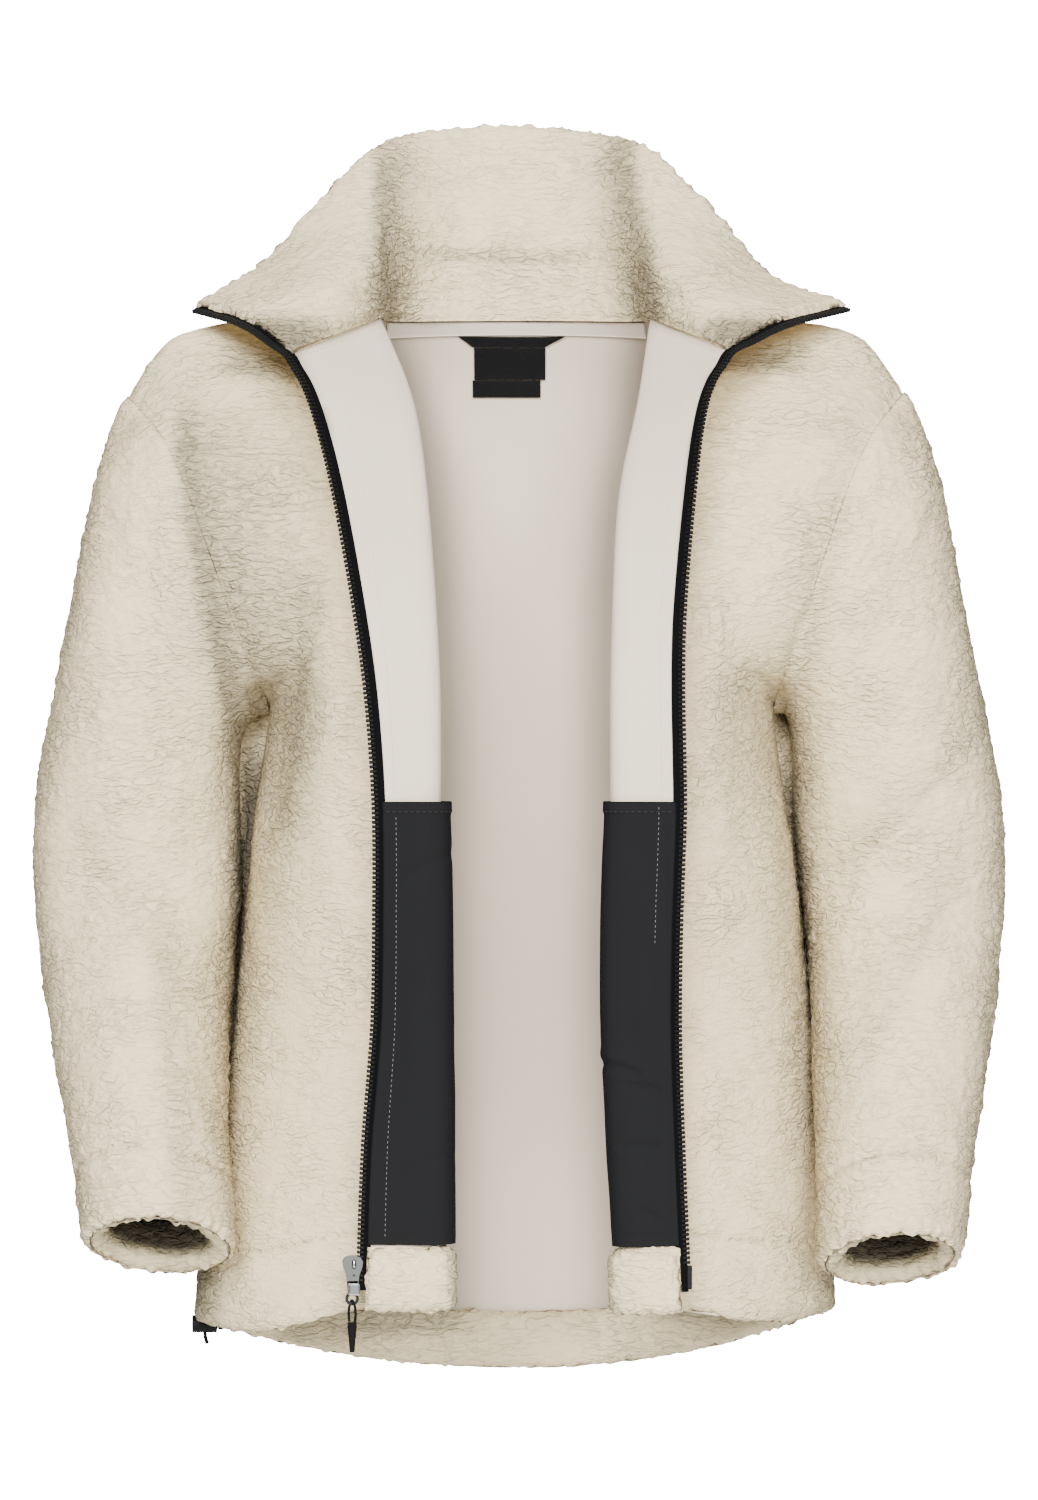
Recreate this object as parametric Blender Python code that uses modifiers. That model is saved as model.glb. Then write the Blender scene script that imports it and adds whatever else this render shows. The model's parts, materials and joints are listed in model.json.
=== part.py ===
"""A pile-fleece jacket with a stand collar, open at its front, hollow and filled out as if worn.

+X is the wearer's left, -Y the front and +Z up. The origin is midway between the two points where the
shoulder seams meet the collar. Both fronts are turned back outwards along their whole length, so the
smooth inner face lies beside each zip edge, and the collar lies open over the shoulders.
"Right" and "left" in names are the wearer's. Tables and sizes are in millimetres.
"""

import math

import bmesh
import bpy
import numpy as np
from mathutils import Matrix
from mathutils.bvhtree import BVHTree

MM = 0.001

# Cloth
FLEECE = 5.0  # backing and pile
TURN_UP = {"hem": 7.0, "cuff": 8.5}  # the looser pile of the turned-up edges
BAG_CLOTH = 1.0
RIBBON = 0.8
LAID_GAP = 0.4  # between a panel and a smooth layer on it
LAYER_GAP = 0.95  # where the panel bends more
SEAM_INSET = 0.3  # each panel stops this far short of its seam line
MOST_MITRE = 1.35  # how far a seam's corner may reach, in cloth thicknesses

# Steps across and down the panels
CHEST_STEPS, ROLL_STEPS, FLAP_STEPS = 6, 4, 4
SHOULDER_STEPS = CHEST_STEPS + ROLL_STEPS // 2  # as far as the turned edge
NECK_STEPS = ROLL_STEPS // 2 + FLAP_STEPS
BACK_NECK_STEPS = 6  # on each side of the centre
ARMHOLE_ROWS = 10
NEAR_ARMHOLE = {"share": 0.3, "out": (8.0, 0.0, 3.0)}  # a ring between the seam and the first of SLEEVES
HEM_ROW = 21
RINGS_PER_ROW = 2
COLLAR_ROWS = 5

ROLL_RADIUS = 11.0  # of the smooth face where a front turns back on itself
# Zip, the sizes of a moulded number 5 chain
TAPE = {"out": (0.3, 3.2), "half": 0.5}
CHAIN = {"out": (3.5, 6.3), "half": 1.3}
SLIDER = {"z": -564.0, "out": 7.8, "height": 14.4, "plate": 1.3, "gap": 1.85}
PULL_AXIS_OFF = 4.3  # from the middle of the chain to the pull tab's hinge
PIN_LENGTH = 14.0

# Hem drawcord at the wearer's right side seam
CORD_DIAMETER = 2.4
CORD_LOCK = {"z": -612.8, "radius": 5.4, "length": 15.0}

SIDES = {"right": -1.0, "left": 1.0}


def table(columns, *rows):
    """A dictionary of arrays, one for each named column."""
    values = np.array(rows, float)
    return {name: values[:, i] for i, name in enumerate(columns.split())}


# A row of a front: the side seam or armhole, the turned edge (fold) and the zip edge. x is the distance
# from the middle, lead is the direction in which the cloth leaves the side, in degrees from straight
# inwards, and full is how square the chest's curve is.
FRONT_COLUMNS = "row side_x side_y side_z lead full fold_x fold_y fold_z zip_x zip_y zip_z"
FRONTS = {
    "right": table(
        FRONT_COLUMNS,
        (0, 236, 0, -48, 0, 0.35, 84, 0, 0, 129, -90, -26),
        (3, 207, -60, -86, 12, 0.35, 63, -62, -54, 118, -112, -56),
        (6, 178, -80, -160, 28, 0.42, 53, -100, -120, 103, -135, -118),
        (8, 159, -60, -216, 55, 0.50, 48, -121, -184, 91, -145, -184),
        (10, 152, 0, -240, 88, 0.56, 45.6, -130, -236, 84, -149, -236),
        (12, 159, 2, -300, 90, 0.55, 45.6, -130, -296, 80, -148, -296),
        (14, 162.5, 4, -362, 90, 0.54, 46, -127, -358, 79.8, -146, -358),
        (16, 170, 6, -428, 90, 0.54, 46, -125, -424, 81, -144, -424),
        (18, 181, 6, -496, 90, 0.54, 45, -127, -488, 86, -143, -488),
        (21, 195, 5, -590, 90, 0.54, 43.5, -131, -585, 89.5, -145, -584),
    ),
    "left": table(
        FRONT_COLUMNS,
        (0, 232, 0, -46, 0, 0.35, 80, 0, 0, 120, -90, -22),
        (3, 205, -60, -84, 12, 0.35, 71, -62, -54, 108, -112, -56),
        (6, 177, -80, -158, 28, 0.42, 58, -100, -120, 98, -135, -118),
        (8, 160, -60, -214, 55, 0.50, 54.5, -121, -184, 92, -145, -184),
        (10, 153, 0, -238, 88, 0.56, 53.2, -130, -236, 91, -149, -236),
        (12, 162, 2, -300, 90, 0.55, 53.2, -130, -296, 92, -148, -296),
        (14, 167.5, 4, -362, 90, 0.54, 52, -127, -358, 90, -146, -358),
        (16, 174, 6, -428, 90, 0.54, 52, -125, -424, 89.2, -144, -424),
        (18, 181, 6, -496, 90, 0.54, 55, -127, -488, 91, -143, -488),
        (21, 189, 5, -590, 90, 0.54, 60, -131, -585, 95, -145, -584),
    ),
}

# A sleeve and the back bend round the wearer's hollow, so each is solids in several lengths: the first
# and last row or ring of each.
LENGTHS = {
    "sleeve": (("", 0, 6), ("_middle", 6, 12), ("_lower", 12, 18)),
    "back": (("", 0, 12), ("_lower", 12, 21)),
}

# How the shoulder seam drops: its share of the way from tip to neck, and of the tip's drop.
SHOULDER = table("way drop", (0, 1), (0.06, 0.66), (0.15, 0.4), (0.3, 0.2), (0.6, 0.07), (1, 0))

# The pile is pressed flat under the arms and where three seams meet at the neck: the least share of its
# thickness, and how far from the point it is whole again.
PRESSED = {"armpit": (0.1, 110.0), "neck": (0.45, 26.0)}

# The back: its armhole above the side seams, then its middle line. wide is how far the cloth spreads
# behind the arms.
BACK_ARMHOLE = table(
    "row x y z",
    (3, 213, 56, -86),
    (6, 190, 80, -160),
    (8, 167, 60, -216),
)
BACK = table(
    "row lead full wide middle_y middle_z",
    (0, 0, 0.5, 0, 62, 5),
    (3, 30, 0.5, 0, 88, -46),
    (6, 48, 0.5, 0, 106, -112),
    (8, 66, 0.52, 0, 112, -172),
    (10, 86, 0.54, 14, 112, -234),
    (12, 90, 0.54, 27, 108, -298),
    (14, 90, 0.54, 26, 105, -366),
    (16, 90, 0.54, 24, 107, -436),
    (18, 90, 0.54, 10, 110, -520),
    (21, 90, 0.54, 0, 113, -646),
)

# A sleeve's rings below the armhole: its outer and inner points from the front, the depth of its
# middle, and half its width from front to back. The forearm swings forwards.
SLEEVE_COLUMNS = "ring outer_x outer_z inner_x inner_z middle_y half_depth"
SLEEVES = {
    "right": table(
        SLEEVE_COLUMNS,
        (1, 251, -92, 161, -242, 0, 78),
        (2, 262, -140, 169.5, -252, 0, 73),
        (3, 273, -198, 173.5, -277, 3, 70),
        (4, 286, -262, 173.5, -316, 7, 67),
        (5, 292, -320, 175, -352, 6, 65),
        (6, 287, -378, 179, -398, -8, 61),
        (7, 277, -436, 180, -450, -38, 56),
        (8, 264, -494, 177, -503, -74, 50),
        (9, 254, -548, 171, -553, -106, 45),
    ),
    "left": table(
        SLEEVE_COLUMNS,
        (1, 249, -90, 162.5, -240, 0, 78),
        (2, 260, -140, 171, -250, 0, 73),
        (3, 271, -198, 177, -275, 3, 70),
        (4, 285, -262, 179, -314, 7, 67),
        (5, 292, -320, 181, -351, 6, 65),
        (6, 289, -378, 184, -398, -8, 61),
        (7, 280, -436, 185, -450, -38, 56),
        (8, 269, -494, 183, -503, -74, 50),
        (9, 258, -548, 180, -553, -106, 45),
    ),
}

# The collar's half height and top edge, by steps along the neck from the middle of the back to the zip.
COLLAR_COLUMNS = "step half_x half_y half_z top_x top_y top_z"
COLLARS = {
    "right": table(
        COLLAR_COLUMNS,
        (0, 0, 73, 66, 0, 93, 126),
        (3, 44, 65, 65, 48, 86, 123),
        (6, 83, 22, 54, 88, 60, 109),
        (8, 93, -2, 40, 119, 43, 78),
        (10, 120, -36, 15, 158, 14, 31),
        (12, 162, -52, -6, 195, -8, 7),
    ),
    "left": table(
        COLLAR_COLUMNS,
        (0, 0, 73, 66, 0, 93, 126),
        (3, 44, 65, 64, 49, 86, 121),
        (6, 80, 22, 52, 86, 60, 104),
        (8, 90, -2, 37, 116, 43, 71),
        (10, 114, -36, 14, 153, 14, 26),
        (12, 157, -52, -6, 197, -8, 7),
    ),
}

# Large folds as seen from the front (face -1) or the back (face 1): a line in x and z, how far the
# cloth rises at its middle, and half the fold's width. A trough has a negative rise.
FOLD_COLUMNS = "x0 z0 x1 z1 rise width face"
FOLDS = {
    "front_right": table(
        FOLD_COLUMNS,
        (-126, -170, -144, -300, -6, 20, -1),
        (-108, -190, -112, -320, 4, 22, -1),
        (-128, -430, -118, -560, -4, 24, -1),
    ),
    "front_left": table(
        FOLD_COLUMNS,
        (150, -215, 128, -330, -4, 20, -1),
        (120, -400, 132, -560, -4, 26, -1),
    ),
    "back": table(
        FOLD_COLUMNS,
        (-120, -180, -70, -330, -5, 22, 1),
        (118, -190, 80, -360, -5, 24, 1),
        (-60, -430, -84, -600, -5, 26, 1),
        (48, -440, 66, -610, -4, 24, 1),
    ),
    "sleeve_right": table(
        FOLD_COLUMNS,
        (-226, -150, -206, -262, -7, 20, -1),
        (-200, -320, -262, -352, -5, 20, -1),
        (-230, -380, -214, -480, 4, 22, -1),
        (-206, -290, -270, -330, -6, 20, 1),
        (-210, -360, -276, -372, -5, 18, 1),
    ),
    "sleeve_left": table(
        FOLD_COLUMNS,
        (224, -150, 208, -260, -5, 20, -1),
        (204, -330, 264, -366, -4, 20, -1),
        (208, -300, 272, -334, -6, 20, 1),
        (212, -362, 278, -380, -5, 18, 1),
    ),
}


# ---- Surfaces ----


def smooth(knots, values, at):
    """Values on a smooth curve through those given at the knots, for each place in at."""
    knots, values, at = np.asarray(knots, float), np.asarray(values, float), np.asarray(at, float)
    shape = (-1,) + (1,) * (values.ndim - 1)
    steps = np.diff(knots).reshape(shape)
    slopes = np.diff(values, axis=0) / steps
    tangents = np.empty_like(values)
    tangents[0], tangents[-1] = slopes[0], slopes[-1]
    tangents[1:-1] = (slopes[:-1] * steps[1:] + slopes[1:] * steps[:-1]) / (steps[:-1] + steps[1:])
    i = np.clip(np.searchsorted(knots, at, side="right") - 1, 0, len(knots) - 2)
    step = steps[i]
    t = ((at - knots[i]) / np.diff(knots)[i]).reshape(shape)
    return (
        (2 * t**3 - 3 * t**2 + 1) * values[i]
        + (t**3 - 2 * t**2 + t) * step * tangents[i]
        + (3 * t**2 - 2 * t**3) * values[i + 1]
        + (t**3 - t**2) * step * tangents[i + 1]
    )


def bezier(p0, p1, p2, p3, t):
    t = np.asarray(t)[:, None]
    return (1 - t) ** 3 * p0 + 3 * (1 - t) ** 2 * t * p1 + 3 * (1 - t) * t**2 * p2 + t**3 * p3


def unit(vectors):
    return vectors / np.maximum(np.linalg.norm(vectors, axis=-1, keepdims=True), 1e-9)


def between(grid, row):
    """A row of a grid at a fractional place, on the straight line between its neighbours."""
    low = min(int(row), len(grid) - 2)
    return grid[low] + (row - low) * (grid[low + 1] - grid[low])


def normals_of(grid, round_it=False):
    """Unit normals of a grid's points, to the side where rows run down and columns run left to right."""
    down = np.gradient(grid, axis=0)
    if round_it:
        across = np.roll(grid, -1, axis=1) - np.roll(grid, 1, axis=1)
    else:
        across = np.gradient(grid, axis=1)
    return unit(np.cross(down, across))


def front_row(r):
    """One control row of a front, from the side round the chest and the turned edge to the zip."""
    middle = np.array([r["fold_x"] + ROLL_RADIUS, r["fold_y"]])
    side = np.array([r["side_x"], r["side_y"]])
    turn = middle + (0, ROLL_RADIUS)
    zip_edge = np.array([r["zip_x"], r["zip_y"]])
    lead = math.radians(r["lead"])
    reach = np.abs(side - turn)
    handle = r["full"] * (reach[0] * math.cos(lead) + reach[1] * math.sin(lead))
    chest = bezier(
        side,
        side - handle * np.array([math.cos(lead), math.sin(lead)]),
        turn + (r["full"] * reach[0], 0),
        turn,
        np.linspace(0, 1, CHEST_STEPS + 1),
    )
    # The flap is a tangent of the roll.
    to_zip = zip_edge - middle
    far = np.linalg.norm(to_zip)
    last = math.atan2(to_zip[1], to_zip[0]) - math.acos(ROLL_RADIUS / far) + 2 * math.pi
    half = ROLL_STEPS // 2
    angles = np.r_[
        np.linspace(math.pi / 2, math.pi, half + 1)[1:], np.linspace(math.pi, last, half + 1)[1:]
    ]
    roll = middle + ROLL_RADIUS * np.stack([np.cos(angles), np.sin(angles)], axis=1)
    along = np.linspace(0, 1, FLAP_STEPS + 1)[1:, None]
    flap = roll[-1] + along * (zip_edge - roll[-1])
    if r["row"]:
        chest_height = np.linspace(r["side_z"], r["fold_z"], CHEST_STEPS + 1)
    else:
        way = (side[0] - chest[:, 0]) / (side[0] - turn[0])
        chest_height = r["side_z"] * smooth(SHOULDER["way"], SHOULDER["drop"], way)
    height = np.r_[
        chest_height,
        np.full(ROLL_STEPS, r["fold_z"]),
        r["fold_z"] + along[:, 0] * (r["zip_z"] - r["fold_z"]),
    ]
    return np.column_stack([np.r_[chest, roll, flap], height])


def rows_of(columns):
    """The rows of a table, each a dictionary of its values."""
    return [dict(zip(columns, values)) for values in zip(*columns.values())]


def front_surface(side):
    rows = rows_of(FRONTS[side])
    grid = smooth(
        FRONTS[side]["row"], [front_row(r) for r in rows], np.arange(HEM_ROW + 1)
    )
    return grid * (SIDES[side], 1, 1)


def back_half(side, front):
    """Half of the back, from its side edge to its middle; it shares the front's shoulder and side seams."""
    mirror = (SIDES[side], 1, 1)
    armhole = np.stack([BACK_ARMHOLE[k] for k in "xyz"], axis=1) * mirror
    edge = smooth(
        np.r_[0, BACK_ARMHOLE["row"], ARMHOLE_ROWS],
        np.r_[front[:1, 0], armhole, front[ARMHOLE_ROWS : ARMHOLE_ROWS + 1, 0]],
        np.arange(ARMHOLE_ROWS),
    )
    edge = np.r_[edge, front[ARMHOLE_ROWS:, 0]] * mirror
    steps = SHOULDER_STEPS + BACK_NECK_STEPS
    t = np.linspace(0, 1, steps + 1)
    control = []
    for r in rows_of(BACK):
        start = edge[int(r["row"])]
        lead = math.radians(r["lead"])
        reach_x, reach_y = start[0], abs(r["middle_y"] - start[1])
        handle = r["full"] * (reach_x * math.cos(lead) + reach_y * math.sin(lead))
        leaving = np.array([-math.cos(lead), math.sin(lead)])
        middle = np.array([0, r["middle_y"]])
        plan = bezier(
            start[:2], start[:2] + handle * leaving, middle + (r["full"] * reach_x, 0), middle, t
        )
        plan[:, 0] += r["wide"] * np.sin(math.pi * np.clip(t / 0.76, 0, 1)) ** 2
        height = start[2] + (r["middle_z"] - start[2]) * np.sin(t * math.pi / 2) ** 1.5
        control.append(np.column_stack([plan, height]))
    # The top row is the shoulder seam, then a quarter of an ellipse round the neck.
    angle = np.linspace(0, math.pi / 2, BACK_NECK_STEPS + 1)[1:]
    neck = front[0, SHOULDER_STEPS] * mirror
    arc = np.column_stack(
        [
            neck[0] * np.cos(angle),
            BACK["middle_y"][0] * np.sin(angle),
            BACK["middle_z"][0] * np.sin(angle),
        ]
    )
    control[0] = np.r_[front[0, : SHOULDER_STEPS + 1] * mirror, arc]
    grid = smooth(BACK["row"], control, np.arange(HEM_ROW + 1))
    grid[:, 0] = edge
    return grid * mirror


def sleeve_surface(side, front, back):
    """A sleeve as closed rings, from the armhole to the cuff. A ring runs top, front, underarm, back."""
    mirror = np.array([SIDES[side], 1, 1])
    armhole = np.r_[front[: ARMHOLE_ROWS + 1, 0], back[1:ARMHOLE_ROWS, 0][::-1]]
    s = SLEEVES[side]
    outer = np.column_stack([s["outer_x"], s["middle_y"], s["outer_z"]]) * mirror
    inner = np.column_stack([s["inner_x"], s["middle_y"], s["inner_z"]]) * mirror
    middle, across = (outer + inner) / 2, (outer - inner) / 2
    run = np.gradient(np.r_[armhole.mean(0)[None], middle], axis=0)[1:]
    depth = unit(np.cross(across, run)) * s["half_depth"][:, None]
    depth *= -np.sign(depth[:, 1:2])
    angle = np.arange(2 * ARMHOLE_ROWS)[None, :, None] * math.pi / ARMHOLE_ROWS
    rings = middle[:, None] + across[:, None] * np.cos(angle) + depth[:, None] * np.sin(angle)
    # Just past the seam the cloth leaves the armhole outwards, before it draws in to the first ring.
    share, out = NEAR_ARMHOLE["share"], np.array(NEAR_ARMHOLE["out"])
    near = armhole + share * (rings[0] - armhole) + out * mirror
    control = np.concatenate([armhole[None], near[None], rings])
    knots = np.r_[0, share, 1 : len(rings) + 1]
    return smooth(knots, control, np.arange(len(rings) * RINGS_PER_ROW + 1) / RINGS_PER_ROW)


def collar_surface(fronts, back):
    """The collar's middle surface: its foot is the neck seam, from the right zip round to the left one."""
    halves = []
    for side in ("right", "left"):
        mirror = (SIDES[side], 1, 1)
        c = COLLARS[side]
        steps = np.arange(BACK_NECK_STEPS + NECK_STEPS + 1)
        half_way = np.stack([c["half_x"], c["half_y"], c["half_z"]], axis=1) * mirror
        top = np.stack([c["top_x"], c["top_y"], c["top_z"]], axis=1) * mirror
        halves.append([smooth(c["step"], points, steps) for points in (half_way, top)])
    foot = np.r_[
        fronts["right"][0, SHOULDER_STEPS:][::-1],
        back[0, SHOULDER_STEPS + 1 : -SHOULDER_STEPS - 1],
        fronts["left"][0, SHOULDER_STEPS:],
    ]
    rows = [foot] + [np.r_[halves[0][k][::-1], halves[1][k][1:]] for k in (0, 1)]
    return smooth([0, 0.5, 1], rows, np.linspace(0, 1, COLLAR_ROWS + 1))


def crease(grid, normals, folds):
    """Moves points along their normals by each fold's rise, softly and less towards the panel's edges."""
    rows, columns = grid.shape[:2]
    i, j = np.meshgrid(np.arange(rows), np.arange(columns), indexing="ij")
    fade = np.clip(np.minimum(i, rows - 1 - i) / 2, 0, 1)
    if not np.allclose(grid[:, 0], grid[:, -1], atol=40):
        fade = fade * np.clip(np.minimum(j, columns - 1 - j) / 2, 0, 1)
    moved = grid.copy()
    for f in rows_of(folds):
        start, end = np.array([f["x0"], f["z0"]]), np.array([f["x1"], f["z1"]])
        along = end - start
        place = grid[..., [0, 2]] - start
        t = np.clip(place @ along / (along @ along), 0, 1)
        away = np.linalg.norm(place - t[..., None] * along, axis=-1)
        facing = np.clip(normals[..., 1] * f["face"] * 2, 0, 1)
        rise = f["rise"] * np.exp(-((away / f["width"]) ** 2)) * facing * fade
        moved += normals * rise[..., None]
    return moved


def mitres(panels):
    """For panels (grid, normals), the direction and length of one cloth thickness at each point.

    Points that panels share along a seam get one common direction, so the walls meet face to face.
    """
    shared = {}
    for grid, normals in panels.values():
        for point, normal in zip(np.round(grid.reshape(-1, 3), 2), normals.reshape(-1, 3)):
            shared.setdefault(tuple(point), []).append(normal)
    directions = {}
    for name, (grid, normals) in panels.items():
        result = normals.reshape(-1, 3).copy()
        for k, point in enumerate(np.round(grid.reshape(-1, 3), 2)):
            group = shared[tuple(point)]
            if len(group) > 1:
                common = unit(np.mean(group, axis=0))
                least = min(float(common @ n) for n in group)
                result[k] = common * min(MOST_MITRE, 1 / max(least, 0.5))
        directions[name] = result.reshape(grid.shape)
    return directions


def press(directions, panels, places):
    """Shortens the thickness near the places where the pile is pressed flat."""
    for name, (grid, _) in panels.items():
        for place, (least, reach) in places:
            away = np.linalg.norm(grid - place, axis=-1, keepdims=True)
            directions[name] = directions[name] * np.clip(least + (1 - least) * away / reach, least, 1)
    return directions


def inset(grid, edges, distance=SEAM_INSET):
    """The grid with the named edges moved into the cloth, square to them."""
    lines = {
        "top": (np.s_[0], np.s_[1]),
        "bottom": (np.s_[-1], np.s_[-2]),
        "first": (np.s_[:, 0], np.s_[:, 1]),
        "last": (np.s_[:, -1], np.s_[:, -2]),
    }
    moved = grid.copy()
    for edge in edges:
        line, neighbours = grid[lines[edge][0]], grid[lines[edge][1]]
        along = unit(np.gradient(line, axis=0))
        inwards = unit(neighbours - line)
        square = inwards - along * (inwards * along).sum(1, keepdims=True)
        moved[lines[edge][0]] += distance * unit(square)
    return moved


# ---- Blender objects ----


def clear_scene():
    for obj in list(bpy.data.objects):
        bpy.data.objects.remove(obj, do_unlink=True)


def material(name, colour, roughness, metallic=0.0):
    made = bpy.data.materials.new(name)
    made.use_nodes = True
    shader = made.node_tree.nodes["Principled BSDF"]
    shader.inputs["Base Color"].default_value = (*colour, 1.0)
    shader.inputs["Roughness"].default_value = roughness
    shader.inputs["Metallic"].default_value = metallic
    return made


def add_mesh(name, bm, finish, smooth_angle=None):
    """Makes an object of a closed bmesh, with its faces outwards."""
    bmesh.ops.recalc_face_normals(bm, faces=bm.faces)
    if bm.calc_volume(signed=True) < 0:
        bmesh.ops.reverse_faces(bm, faces=bm.faces)
    mesh = bpy.data.meshes.new(name)
    bm.to_mesh(mesh)
    bm.free()
    mesh.materials.append(finish)
    if smooth_angle:
        mesh.shade_smooth()
        mesh.set_sharp_from_angle(angle=smooth_angle)
    obj = bpy.data.objects.new(name, mesh)
    bpy.data.collections["fleece_jacket"].objects.link(obj)
    return obj


def wall(name, inside, outside, finish, round_it=False):
    """A closed wall lofted between two grids of points, open as a sheet or joined round as a tube."""
    rows, columns = inside.shape[:2]
    bm = bmesh.new()
    layers = [
        [[bm.verts.new(point * MM) for point in row] for row in layer] for layer in (inside, outside)
    ]
    spans = columns if round_it else columns - 1
    for layer in layers:
        for i in range(rows - 1):
            for j in range(spans):
                k = (j + 1) % columns
                bm.faces.new((layer[i][j], layer[i][k], layer[i + 1][k], layer[i + 1][j]))
    near, far = layers
    for i in (0, rows - 1):
        for j in range(spans):
            k = (j + 1) % columns
            bm.faces.new((near[i][j], near[i][k], far[i][k], far[i][j]))
    if not round_it:
        for j in (0, columns - 1):
            for i in range(rows - 1):
                bm.faces.new((near[i][j], near[i + 1][j], far[i + 1][j], far[i][j]))
    return add_mesh(name, bm, finish, math.radians(50))


def laid(name, rows, grid, directions, gap, thickness, finish, columns=slice(None), round_it=False):
    """A layer on a panel's smooth side, made from the panel's points moved off it."""
    base = np.stack([between(grid, row)[columns] for row in rows])
    away = np.stack([between(directions, row)[columns] for row in rows])
    if not round_it:
        base = inset(base, ("first", "last"))
    gap, thickness = np.asarray(gap), np.asarray(thickness)
    return wall(name, base - away * gap, base - away * (gap + thickness), finish, round_it)


def ribbon(name, path, out, up, width, half, finish):
    """A strip along a path, between two distances outwards, and as thick as twice half."""
    near, far = path + out * width[0], path + out * width[1]
    return wall(
        name,
        np.stack([near + up * half, far + up * half]),
        np.stack([near - up * half, far - up * half]),
        finish,
    )


def box(name, low, high, finish, bevel=0.0, frame=None):
    """A box between two corners in the frame's own axes."""
    bm = bmesh.new()
    bmesh.ops.create_cube(bm, size=1.0)
    low, high = np.array(low), np.array(high)
    for vert in bm.verts:
        vert.co = (low + (np.array(vert.co) + 0.5) * (high - low)) * MM
    obj = add_mesh(name, bm, finish)
    if frame:
        obj.matrix_world = frame
    if bevel:
        edge = obj.modifiers.new("edge", "BEVEL")
        edge.width = bevel * MM
        edge.segments = 2
        edge.limit_method = "ANGLE"
    return obj


def plate(name, outlines, thickness, finish, frame, shift):
    """A flat plate in the frame's x-z plane, from its outline and the outlines of its holes."""
    curve = bpy.data.curves.new(name, "CURVE")
    curve.dimensions = "2D"
    curve.fill_mode = "BOTH"
    curve.extrude = thickness / 2 * MM
    for outline in outlines:
        spline = curve.splines.new("POLY")
        spline.points.add(len(outline) - 1)
        for point, (x, z) in zip(spline.points, outline):
            point.co = (x * MM, z * MM, 0, 1)
        spline.use_cyclic_u = True
    obj = bpy.data.objects.new(name, curve)
    curve.materials.append(finish)
    bpy.data.collections["fleece_jacket"].objects.link(obj)
    upright = Matrix.Rotation(math.pi / 2, 4, "X")
    obj.matrix_world = frame @ Matrix.Translation((0, shift * MM, 0)) @ upright
    return obj


def tube(name, points, radius, finish, frame=None, bevel_resolution=2):
    curve = bpy.data.curves.new(name, "CURVE")
    curve.dimensions = "3D"
    curve.bevel_depth = radius * MM
    curve.bevel_resolution = bevel_resolution
    curve.use_fill_caps = True
    spline = curve.splines.new("POLY")
    spline.points.add(len(points) - 1)
    for point, place in zip(spline.points, points):
        point.co = (*(np.asarray(place) * MM), 1)
    curve.materials.append(finish)
    obj = bpy.data.objects.new(name, curve)
    bpy.data.collections["fleece_jacket"].objects.link(obj)
    if frame:
        obj.matrix_world = frame
    return obj


def meshed(obj):
    """The object as a mesh, with the curve's caps welded on."""
    bpy.context.view_layer.update()
    graph = bpy.context.evaluated_depsgraph_get()
    mesh = bpy.data.meshes.new_from_object(obj.evaluated_get(graph))
    bm = bmesh.new()
    bm.from_mesh(mesh)
    bmesh.ops.remove_doubles(bm, verts=bm.verts, dist=1e-6)
    bmesh.ops.recalc_face_normals(bm, faces=bm.faces)
    bm.to_mesh(mesh)
    bm.free()
    name = obj.name
    obj.name = name + "_curve"
    made = bpy.data.objects.new(name, mesh)
    made.matrix_world = obj.matrix_world
    bpy.data.collections["fleece_jacket"].objects.link(made)
    bpy.data.objects.remove(obj)
    return made


def helper(obj):
    """Puts a cutter or a joined part out of the model."""
    obj.hide_render = True
    obj.display_type = "WIRE"
    bpy.data.collections["fleece_jacket"].objects.unlink(obj)
    bpy.data.collections["cutters"].objects.link(obj)
    return obj


def combine(obj, other, operation):
    boolean = obj.modifiers.new(other.name, "BOOLEAN")
    boolean.object = helper(other)
    boolean.operation = operation
    return obj


# ---- The garment ----


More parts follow.
